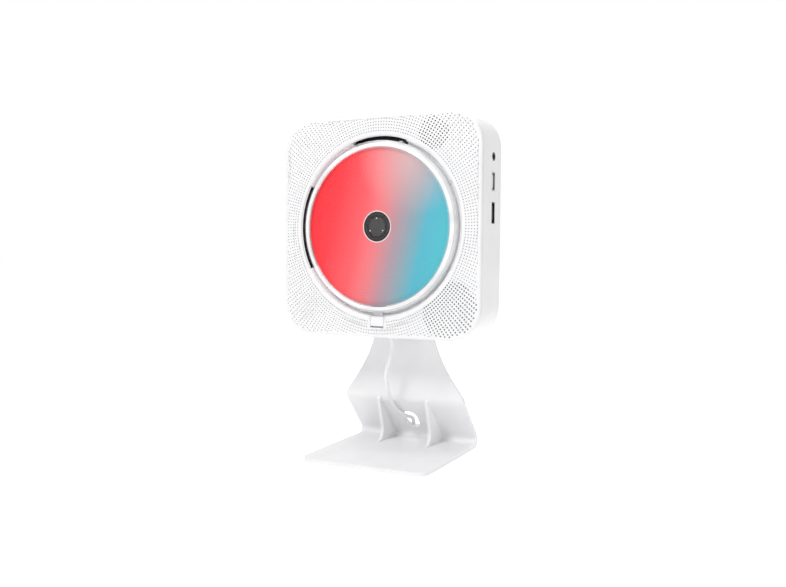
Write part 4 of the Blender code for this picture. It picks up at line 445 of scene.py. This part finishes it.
def moulded(name, colour, roughness, grain=MOULDED_GRAIN_SCALE, depth=MOULDED_DEPTH):
    """Moulded plastic: fine grain in its surface and a faint drift in its shade and gloss."""
    finish = Finish(name)
    dim = (*(part * share for part, share in zip(colour, MOULDED_DIM_SHARES)), 1.0)
    low, high = NOISE_SPAN
    finish.feed("Base Color", finish.ramp(finish.noise(MOULDED_DRIFT_SCALE), (low, dim), (high, colour)))
    drift = MOULDED_GLOSS_DRIFT
    gloss = finish.spread(finish.noise(MOULDED_GLOSS_SCALE), roughness - drift, roughness + drift)
    finish.feed("Roughness", gloss)
    finish.bump(finish.noise(grain, 4.0), depth, MOULDED_BUMP)
    return finish.material


def metal(name, colour, roughness, stretch=LINES_ALONG_FACE):
    """Drawn metal: long fine lines in its gloss and its surface."""
    finish = Finish(name)
    lines = finish.noise(METAL_LINE_SCALE, 5.0, stretch)
    finish.set(Metallic=1.0, Base_Color=colour)
    less, more = METAL_GLOSS_DRIFT
    finish.feed("Roughness", finish.spread(lines, roughness - less, roughness + more))
    finish.bump(lines, METAL_DEPTH, METAL_BUMP)
    return finish.material


def rubber(name):
    finish = Finish(name)
    grain = finish.noise(RUBBER_GRAIN_SCALE, 4.0)
    finish.set(Base_Color=linear(26, 26, 27))
    finish.feed("Roughness", finish.spread(grain, *RUBBER_ROUGHNESS))
    finish.bump(grain, RUBBER_DEPTH)
    return finish.material


def paper_cone(name):
    """Pulp cone: felted fibres."""
    finish = Finish(name)
    fibres = finish.noise(PAPER_FIBRE_SCALE, 8.0, PAPER_STRETCH)
    low, high = NOISE_SPAN
    shades = finish.ramp(fibres, (low, linear(20, 20, 21)), (high, linear(44, 43, 42)))
    finish.feed("Base Color", shades)
    finish.set(Roughness=0.92)
    finish.bump(fibres, PAPER_DEPTH, PAPER_BUMP)
    return finish.material


def circuit_board(name):
    """Solder mask over copper tracks: square cells of lighter green in the mask."""
    finish = Finish(name)
    inputs = {"Vector": finish.plan(), "Scale": BOARD_CELL_SCALE, "Mortar Size": BOARD_TRACK_SHARE}
    cells = finish.add("ShaderNodeTexBrick", inputs)
    tracks = cells.outputs["Fac"]
    low, high = BOARD_TRACK_SPAN
    shades = finish.ramp(tracks, (low, linear(20, 88, 48)), (high, linear(52, 132, 76)))
    finish.feed("Base Color", shades)
    finish.set(Roughness=0.35, Coat_Weight=0.4)
    finish.bump(tracks, BOARD_DEPTH)
    return finish.material


def lens_glass(name):
    finish = Finish(name)
    tint = finish.add("ShaderNodeLayerWeight", {"Blend": 0.4}).outputs["Facing"]
    finish.feed("Base Color", finish.ramp(tint, (0.0, linear(40, 60, 130)), (1.0, linear(150, 90, 170))))
    finish.set(Roughness=0.03, Coat_Weight=1.0, Coat_Roughness=0.02)
    return finish.material


def clear_acrylic_with_sheen(name):
    """Clear acrylic: nearly unseen on its flat front, with painted highlight and reflection as a milky
    ring over its shoulder and a milky edge beyond it on the right; clear again beyond the shoulder on the
    side that looks into the dark recess."""
    finish = Finish(name)
    # Painted highlight and reflection: a milky ring by radius about a middle set a little off the axis,
    # and a milky edge beyond the shoulder on the right
    share = finish.span(finish.plan_radius(COVER_MIDDLE), COVER_SPAN, (0.0, 1.0))
    stops = [(place, (alpha, alpha, alpha, 1.0)) for place, alpha in PAINTED_SHEEN_ALPHAS]
    painted_sheen = finish.ramp(share, *stops)
    across = finish.add("ShaderNodeSeparateXYZ", {"Vector": finish.plan()}).outputs["X"]
    right = finish.span(across, RIGHT_SHEEN_ACROSS, (0.0, RIGHT_SHEEN_ALPHA))
    fade = (RIGHT_SHEEN_SHARE, RIGHT_SHEEN_SHARE + RIGHT_SHEEN_FADE_SHARE)
    beyond = finish.span(share, fade, (0.0, 1.0))
    right_sheen = finish.add("ShaderNodeMath", {0: right, 1: beyond}, operation="MULTIPLY").outputs["Value"]
    alpha = finish.add("ShaderNodeMath", {0: painted_sheen, 1: right_sheen}, operation="MAXIMUM").outputs["Value"]
    finish.feed("Alpha", alpha)
    # Streaky white of the painted sheen
    sheen_streaks = finish.noise(SHEEN_STREAK_SCALE, 2.0, SHEEN_STREAK_STRETCH)
    low, high = SHEEN_STREAK_SPAN
    shades = finish.ramp(sheen_streaks, (low, linear(236, 237, 239)), (high, linear(252, 252, 253)))
    finish.feed("Base Color", shades)
    finish.feed("Roughness", finish.spread(finish.noise(COVER_SMEAR_SCALE), *COVER_ROUGHNESS))
    finish.feed("Specular IOR Level", finish.span(share, COVER_SHINE_SHARES, COVER_SHINE))
    finish.set(IOR=ACRYLIC_INDEX)
    return finish.material


def disc_print(name):
    """A soft two-colour print that fades across the disc, paler at its upper right, round a clear centre
    over the black platform."""
    finish = Finish(name)
    plan = finish.plan()
    radius = finish.plan_radius()
    along = finish.add("ShaderNodeVectorMath", {0: plan, 1: PRINT_DIRECTION}, operation="DOT_PRODUCT")
    grain = finish.spread(finish.noise(PRINT_GRAIN_SCALE, 2.0), -PRINT_GRAIN, PRINT_GRAIN)
    ragged = finish.add("ShaderNodeMath", {0: along.outputs["Value"], 1: grain}, operation="ADD")
    share = finish.span(ragged.outputs["Value"], (-DISC_RADIUS, DISC_RADIUS), (0.0, 1.0))
    stops = [(place, linear(*colour)) for place, colour in PRINT_STOPS]
    colours = finish.ramp(share, *stops)
    away = finish.add("ShaderNodeVectorMath", {0: plan, 1: PALE_PLACE}, operation="DISTANCE")
    pale = finish.span(away.outputs["Value"], PALE_SPAN, (PALE_STRENGTH, 0.0))
    faded = finish.mixed(pale, colours, linear(*PALE_COLOUR))
    ringed = finish.add("ShaderNodeMath", {0: radius, 1: CLEAR_CENTRE_RADIUS}, operation="GREATER_THAN")
    printed = finish.add("ShaderNodeMath", {0: radius, 1: LIGHT_RING_RADIUS}, operation="GREATER_THAN")
    lines = finish.add("ShaderNodeMath", {0: radius, 1: CENTRE_LINE_PITCH}, operation="PINGPONG")
    line_span = (CENTRE_LINE_PITCH * CENTRE_LINE_SHARE, CENTRE_LINE_PITCH)
    arcs = finish.span(lines.outputs["Value"], line_span, (0.0, 1.0))
    broken = finish.spread(finish.noise(CENTRE_BREAK_SCALE, 1.0), 0.0, 1.0)
    marks = finish.add("ShaderNodeMath", {0: arcs, 1: broken}, operation="MULTIPLY").outputs["Value"]
    centre = finish.ramp(marks, (0.0, linear(*CENTRE_COLOUR)), (1.0, linear(*CENTRE_LINE_COLOUR)))
    ring = finish.mixed(ringed.outputs["Value"], centre, linear(*LIGHT_RING_COLOUR))
    finish.feed("Base Color", finish.mixed(printed.outputs["Value"], ring, faded))
    finish.set(Roughness=0.34, Specular_IOR_Level=0.2)
    return finish.material


def painted_hole_shade(name, level):
    """Painted shade for the floors of the dimples: a mottled grey, darker in patches, that stands for the
    shade inside the holes.
    """
    finish = Finish(name)
    shade = linear(level, level, level)
    deep_level = level * DEEPER_SHADE_SHARE
    deep = linear(deep_level, deep_level, deep_level)
    low, high = NOISE_SPAN
    mottle = finish.ramp(finish.noise(HOLE_MOTTLE_SCALE), (low, deep), (high, shade))
    finish.feed("Base Color", mottle)
    finish.set(Roughness=0.8)
    return finish.material


# Pieces


def smoothing_steps():
    """Steps that weld a carried-over node's loose triangles and shade it smooth but for its edges."""
    tree = bpy.data.node_groups.new("smooth_but_for_edges", "GeometryNodeTree")
    tree.interface.new_socket("Geometry", in_out="INPUT", socket_type="NodeSocketGeometry")
    tree.interface.new_socket("Geometry", in_out="OUTPUT", socket_type="NodeSocketGeometry")
    start, end = tree.nodes.new("NodeGroupInput"), tree.nodes.new("NodeGroupOutput")
    weld = tree.nodes.new("GeometryNodeMergeByDistance")
    weld.inputs["Distance"].default_value = WELD_DISTANCE
    faces = tree.nodes.new("GeometryNodeSetShadeSmooth")
    edges = tree.nodes.new("GeometryNodeSetShadeSmooth")
    edges.domain = "EDGE"
    edges.inputs["Shade Smooth"].default_value = False
    angle = tree.nodes.new("GeometryNodeInputMeshEdgeAngle")
    sharp = tree.nodes.new("FunctionNodeCompare")
    sharp.operation = "GREATER_THAN"
    sharp.inputs["B"].default_value = SHARP_ANGLE
    for output, target in (
        (start.outputs[0], weld.inputs["Geometry"]),
        (weld.outputs["Geometry"], faces.inputs["Geometry"]),
        (faces.outputs["Geometry"], edges.inputs["Geometry"]),
        (angle.outputs["Unsigned Angle"], sharp.inputs["A"]),
        (sharp.outputs["Result"], edges.inputs["Selection"]),
        (edges.outputs["Geometry"], end.inputs[0]),
    ):
        tree.links.new(output, target)
    return tree


def dress(node, finish, steps):
    """A carried-over node gets its finish and smooth shading; its own mesh stays as it is."""
    node.data.materials.clear()
    node.data.materials.append(finish)
    step = node.modifiers.new("smooth", "NODES")
    step.node_group = steps


def dimple_places():
    """Where rings cross spokes on the flat of the front: ring radius times the spoke's direction, kept
    where the signed distance to the front's rounded square leaves a margin, and clear of the latch."""
    ring = FIRST_RING + RING_PITCH * np.arange(RING_COUNT)
    spoke = np.arange(SPOKE_COUNT) * math.tau / SPOKE_COUNT
    radius, angle = (grid.ravel() for grid in np.meshgrid(ring, spoke, indexing="ij"))
    x, y = radius * np.cos(angle), radius * np.sin(angle)
    beyond = np.abs(np.stack([x, y])) - (HALF_FACE - FACE_CORNER_RADIUS)
    outside = np.linalg.norm(np.maximum(beyond, 0.0), axis=0)
    distance = outside + np.minimum(beyond.max(axis=0), 0.0) - FACE_CORNER_RADIUS
    by_latch = (np.abs(x) < LATCH_CLEAR_X) & (y > LATCH_CLEAR_UP[0]) & (y < LATCH_CLEAR_UP[1])
    kept = (distance < -DIMPLE_EDGE_MARGIN) & ~by_latch
    return x[kept], y[kept], angle[kept]


def in_dark_area(x, y):
    """Whether a place lies in one of the listed areas where the dimples are wider and their floors painted
    near black.
    """
    return np.any([np.hypot(x - across, y - up) < reach for across, up, reach in DARK_AREAS], axis=0)


def dimple_cutter():
    """Every dimple as an eight-sided prism through the face, its sides turned with its spoke."""
    x, y, angle = dimple_places()
    corner = (np.arange(DIMPLE_SIDES) + 1 / 2) * math.tau / DIMPLE_SIDES
    turn = angle[:, None] + corner[None, :]
    radius = np.where(in_dark_area(x, y), DARK_DIMPLE_RADIUS, DIMPLE_RADIUS)[:, None]
    ring_x = x[:, None] + radius * np.cos(turn)
    ring_y = y[:, None] + radius * np.sin(turn)
    low = np.stack([ring_x, ring_y, np.full_like(ring_x, -DIMPLE_DEPTH)], axis=2)
    high = np.stack([ring_x, ring_y, np.full_like(ring_x, DIMPLE_OVERRUN)], axis=2)
    points = from_plan(np.concatenate([low, high], axis=1).reshape(-1, 3))
    first = np.arange(DIMPLE_SIDES)
    second = (first + 1) % DIMPLE_SIDES
    sides = np.stack([first, second, second + DIMPLE_SIDES, first + DIMPLE_SIDES], axis=1)
    start = np.arange(len(x)) * 2 * DIMPLE_SIDES
    faces = (start[:, None, None] + sides[None]).reshape(-1, 4).tolist()
    faces += (start[:, None] + first[::-1][None]).tolist()
    faces += (start[:, None] + first[None] + DIMPLE_SIDES).tolist()
    return mesh_piece("dimple_cutter", points, faces)


def add_perforated_front(finish, shade, dark):
    """The part's own front with its full pattern of dimples, whose floors are painted grey for the shade
    inside the holes, and near black in the dark areas.
    """
    node = nodes["front_panel"]
    shape = bmesh.new()
    shape.from_mesh(node.data)
    bmesh.ops.remove_doubles(shape, verts=shape.verts, dist=WELD_DISTANCE)
    mesh = bpy.data.meshes.new("perforated_front")
    shape.to_mesh(mesh)
    shape.free()
    front = bpy.data.objects.new("perforated_front", mesh)
    bpy.context.scene.collection.objects.link(front)
    cutter = dimple_cutter()
    step = front.modifiers.new("dimples", "BOOLEAN")
    step.solver = "MANIFOLD"
    step.object = cutter
    graph = bpy.context.evaluated_depsgraph_get()
    cut_mesh = bpy.data.meshes.new_from_object(front.evaluated_get(graph))
    front.modifiers.clear()
    front.data = cut_mesh
    bpy.data.objects.remove(cutter)
    cut_mesh.materials.clear()
    for each in (finish, shade, dark):
        cut_mesh.materials.append(each)
    count = len(cut_mesh.polygons)
    centres, normals = np.empty(count * 3), np.empty(count * 3)
    cut_mesh.polygons.foreach_get("center", centres)
    cut_mesh.polygons.foreach_get("normal", normals)
    centres = to_plan(centres.reshape(-1, 3))
    facing = normals.reshape(-1, 3) @ np.array(OUTWARD) > FACING_LEAST
    floors = facing & (np.abs(centres[:, 2] + DIMPLE_DEPTH) < FLOOR_TOLERANCE)
    # Dimple floors take the painted shade, near black in the dark areas
    slots = np.where(floors, np.where(in_dark_area(centres[:, 0], centres[:, 1]), 2, 1), 0)
    cut_mesh.polygons.foreach_set("material_index", slots.astype(np.int32))
    cut_mesh.shade_smooth()
    cut_mesh.set_sharp_from_angle(angle=SHARP_ANGLE)
    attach(front, "player_and_stand")
    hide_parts("front_panel")


def swept_section(name, section, angles, closed):
    """A closed section of (radius, depth) points carried round the disc's axis through the angles: one
    parameter runs round the section and the other along the angles. Open sweeps get two end faces."""
    section = np.asarray(section)
    x = section[None, :, 0] * np.cos(angles)[:, None]
    y = section[None, :, 0] * np.sin(angles)[:, None]
    z = np.broadcast_to(section[None, :, 1], x.shape)
    count, rows = len(section), len(angles)
    steps = rows if closed else rows - 1
    corner, turn = np.meshgrid(np.arange(count), np.arange(steps), indexing="ij")
    next_corner, next_turn = (corner + 1) % count, (turn + 1) % rows
    corners = [(turn, corner), (turn, next_corner), (next_turn, next_corner), (next_turn, corner)]
    faces = np.stack([a * count + b for a, b in corners], axis=-1).reshape(-1, 4).tolist()
    if not closed:
        faces += [list(range(count))[::-1], list(range((rows - 1) * count, rows * count))]
    points = from_plan(np.stack([x, y, z], axis=-1).reshape(-1, 3))
    piece = mesh_piece(name, points, faces)
    shape = bmesh.new()
    shape.from_mesh(piece.data)
    bmesh.ops.recalc_face_normals(shape, faces=shape.faces)
    shape.to_mesh(piece.data)
    shape.free()
    piece.data.shade_smooth()
    piece.data.set_sharp_from_angle(angle=SHARP_ANGLE)
    return piece


def add_recess_trough(finish):
    """A black trough behind the finger recesses, all the way round: painted shade for the unlit inside
    seen through them.
    """
    inner, outer = TROUGH_INNER_RADIUS, TROUGH_OUTER_RADIUS
    section = (
        (inner, TROUGH_FRONT),
        (outer, TROUGH_FRONT),
        (outer, TROUGH_RIM),
        (outer + TROUGH_WALL, TROUGH_RIM),
        (outer + TROUGH_WALL, TROUGH_FRONT - TROUGH_WALL),
        (inner, TROUGH_FRONT - TROUGH_WALL),
    )
    angles = np.arange(TROUGH_STEPS) * math.tau / TROUGH_STEPS
    trough = swept_section("recess_shade_trough", section, angles, True)
    trough.data.materials.append(finish)
    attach(trough, "player_and_stand")


def rounded_edge(first_depth):
    """The opening's rounded edge from a depth out to the liner's edge: a quarter circle about the
    rounding's middle, which lies its radius beyond the opening and below the face."""
    middle = OPENING_RADIUS + ROUNDING_RADIUS
    first = math.pi - math.asin(max(1 + first_depth / ROUNDING_RADIUS, 0.0))
    last = math.acos((LINER_OUTER_RADIUS - middle) / ROUNDING_RADIUS)
    turn = np.linspace(first, last, ROUNDING_STEPS)
    radius = middle + ROUNDING_RADIUS * np.cos(turn)
    depth = ROUNDING_RADIUS * (np.sin(turn) - 1)
    return np.stack([radius, depth], axis=1).tolist()


def add_recess_liners(finish, dark):
    """Arcs with the opening's own rounded edge: over a dark wall at the left, painted shade in that
    recess, and on a floor that closes the recess at the right."""
    left = rounded_edge(LINER_LEFT_EDGE)
    left += [(LINER_OUTER_RADIUS, LINER_LEFT_EDGE)]
    wall = [
        (left[0][0], SHADE_WALL_FRONT),
        (LINER_OUTER_RADIUS, SHADE_WALL_FRONT),
        (LINER_OUTER_RADIUS, SHADE_WALL_REAR),
        (left[0][0], SHADE_WALL_REAR),
    ]
    right = rounded_edge(-ROUNDING_RADIUS)
    right += [
        (LINER_OUTER_RADIUS, LINER_REAR),
        (LINER_FLOOR_RADIUS, LINER_REAR),
        (LINER_FLOOR_RADIUS, LINER_FLOOR_FRONT),
        (OPENING_RADIUS, LINER_FLOOR_FRONT),
    ]
    for name, section, middle_angle, surface, slot in (
        ("recess_liner_left", left, math.pi, finish, "white_plastic"),
        ("recess_shade_wall_left", wall, math.pi, dark, "dark_plastic"),
        ("recess_liner_right", right, 0.0, finish, "white_plastic"),
    ):
        angles = middle_angle + np.linspace(-LINER_HALF_ANGLE, LINER_HALF_ANGLE, LINER_STEPS)
        liner = swept_section(name, section, angles, False)
        liner.data.materials.append(surface)
        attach(liner, "player_and_stand")


# Studio


def lamp(name, place, target, size, power):
    data = bpy.data.lights.new(name, "AREA")
    data.shape = "RECTANGLE"
    data.size, data.size_y = size
    data.energy = power
    light = bpy.data.objects.new(name, data)
    bpy.context.scene.collection.objects.link(light)
    light.location = place
    light.rotation_euler = (Vector(target) - Vector(place)).to_track_quat("-Z", "Y").to_euler()


def seen_directly(tree):
    """1 where the camera, a mirror or clear plastic looks at the surface, else 0."""
    path = tree.nodes.new("ShaderNodeLightPath")
    total = path.outputs["Is Camera Ray"]
    for name in ("Is Glossy Ray", "Is Transmission Ray"):
        add = tree.nodes.new("ShaderNodeMath")
        add.operation = "MAXIMUM"
        tree.links.new(total, add.inputs[0])
        tree.links.new(path.outputs[name], add.inputs[1])
        total = add.outputs["Value"]
    return total


def add_studio():
    """A white room and floor that look pure white when seen, lit by three lamps."""
    world = bpy.data.worlds.new("studio")
    world.use_nodes = True
    tree = world.node_tree
    tree.nodes.clear()
    output = tree.nodes.new("ShaderNodeOutputWorld")
    plain, white, mix = (
        tree.nodes.new("ShaderNodeBackground"),
        tree.nodes.new("ShaderNodeBackground"),
        tree.nodes.new("ShaderNodeMixShader"),
    )
    plain.inputs["Strength"].default_value = ROOM_STRENGTH
    plain.inputs["Color"].default_value = ROOM_COLOUR
    white.inputs["Strength"].default_value = 1.0
    white.inputs["Color"].default_value = (1.0, 1.0, 1.0, 1.0)
    tree.links.new(seen_directly(tree), mix.inputs["Fac"])
    tree.links.new(plain.outputs[0], mix.inputs[1])
    tree.links.new(white.outputs[0], mix.inputs[2])
    tree.links.new(mix.outputs[0], output.inputs["Surface"])
    bpy.context.scene.world = world
    corners = [(FLOOR_REACH * x, FLOOR_REACH * y, 0) for x, y in ((-1, -1), (1, -1), (1, 1), (-1, 1))]
    floor = mesh_piece("floor", corners, [(0, 1, 2, 3)])
    surface = bpy.data.materials.new("white_floor")
    surface.use_nodes = True
    tree = surface.node_tree
    tree.nodes.clear()
    output, diffuse, glow = (
        tree.nodes.new("ShaderNodeOutputMaterial"),
        tree.nodes.new("ShaderNodeBsdfDiffuse"),
        tree.nodes.new("ShaderNodeEmission"),
    )
    diffuse.inputs["Color"].default_value = FLOOR_COLOUR
    add = tree.nodes.new("ShaderNodeAddShader")
    share = tree.nodes.new("ShaderNodeMath")
    share.operation = "MULTIPLY_ADD"
    share.inputs[1].default_value = FLOOR_GLOW_SEEN
    share.inputs[2].default_value = FLOOR_GLOW
    tree.links.new(seen_directly(tree), share.inputs[0])
    tree.links.new(share.outputs["Value"], glow.inputs["Strength"])
    tree.links.new(diffuse.outputs[0], add.inputs[0])
    tree.links.new(glow.outputs[0], add.inputs[1])
    tree.links.new(add.outputs[0], output.inputs["Surface"])
    floor.data.materials.append(surface)
    for name, place, target, size, power in LAMPS:
        lamp(name, place, target, size, power)


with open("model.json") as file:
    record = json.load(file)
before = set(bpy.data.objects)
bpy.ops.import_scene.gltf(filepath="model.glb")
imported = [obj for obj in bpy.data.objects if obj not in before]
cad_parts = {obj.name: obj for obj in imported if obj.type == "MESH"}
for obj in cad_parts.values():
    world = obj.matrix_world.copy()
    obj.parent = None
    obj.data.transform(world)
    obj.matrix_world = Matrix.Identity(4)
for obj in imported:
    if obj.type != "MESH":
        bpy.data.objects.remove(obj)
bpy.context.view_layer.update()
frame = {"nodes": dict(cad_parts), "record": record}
nodes = frame["nodes"]
bpy.context.scene.view_settings.view_transform = "Standard"

add_camera()
white = moulded("white_moulding", linear(240, 240, 241), 0.42)
bright = metal("bright_steel", linear(214, 214, 217), 0.24)
black = moulded("black_moulding", linear(24, 24, 25), 0.45)
board = circuit_board("board_green")
add_cord(moulded("lead_jacket", linear(240, 240, 240), 0.5, JACKET_GRAIN_SCALE, JACKET_DEPTH))

finishes = {
    "white_plastic": white,
    "clear_plastic": clear_acrylic_with_sheen("clear_acrylic_with_sheen"),
    "dark_plastic": black,
    "gear_plastic": moulded("gear_acetal", linear(232, 230, 222), 0.5),
    "disc_metal": disc_print("disc_print"),
    "steel": bright,
    "screw_steel": metal("dark_steel", linear(120, 120, 123), 0.34),
    "chassis_steel": metal("chassis_sheet", linear(180, 182, 184), 0.38, LINES_THROUGH_FACE),
    "brass": metal("turned_brass", linear(206, 172, 104), 0.3),
    "rubber": rubber("soft_rubber"),
    "lens_glass": lens_glass("coated_lens"),
    "paper": paper_cone("pulp_cone"),
    "circuit_board": board,
}
smooth_steps = smoothing_steps()
for entry in frame["record"]["subparts"]:
    if entry["node"] != "front_panel":
        dress(nodes[entry["node"]], finishes[entry["material_slot"]], smooth_steps)
dress(nodes["front_panel"], white, smooth_steps)
dress(nodes["hdmi_port"], black, smooth_steps)
add_perforated_front(white, painted_hole_shade("painted_hole_shade", PAINTED_HOLE_SHADE_LEVEL), painted_hole_shade("dark_hole_floor", DARK_FLOOR_LEVEL))
add_recess_trough(black)
add_recess_liners(white, black)
add_studio()
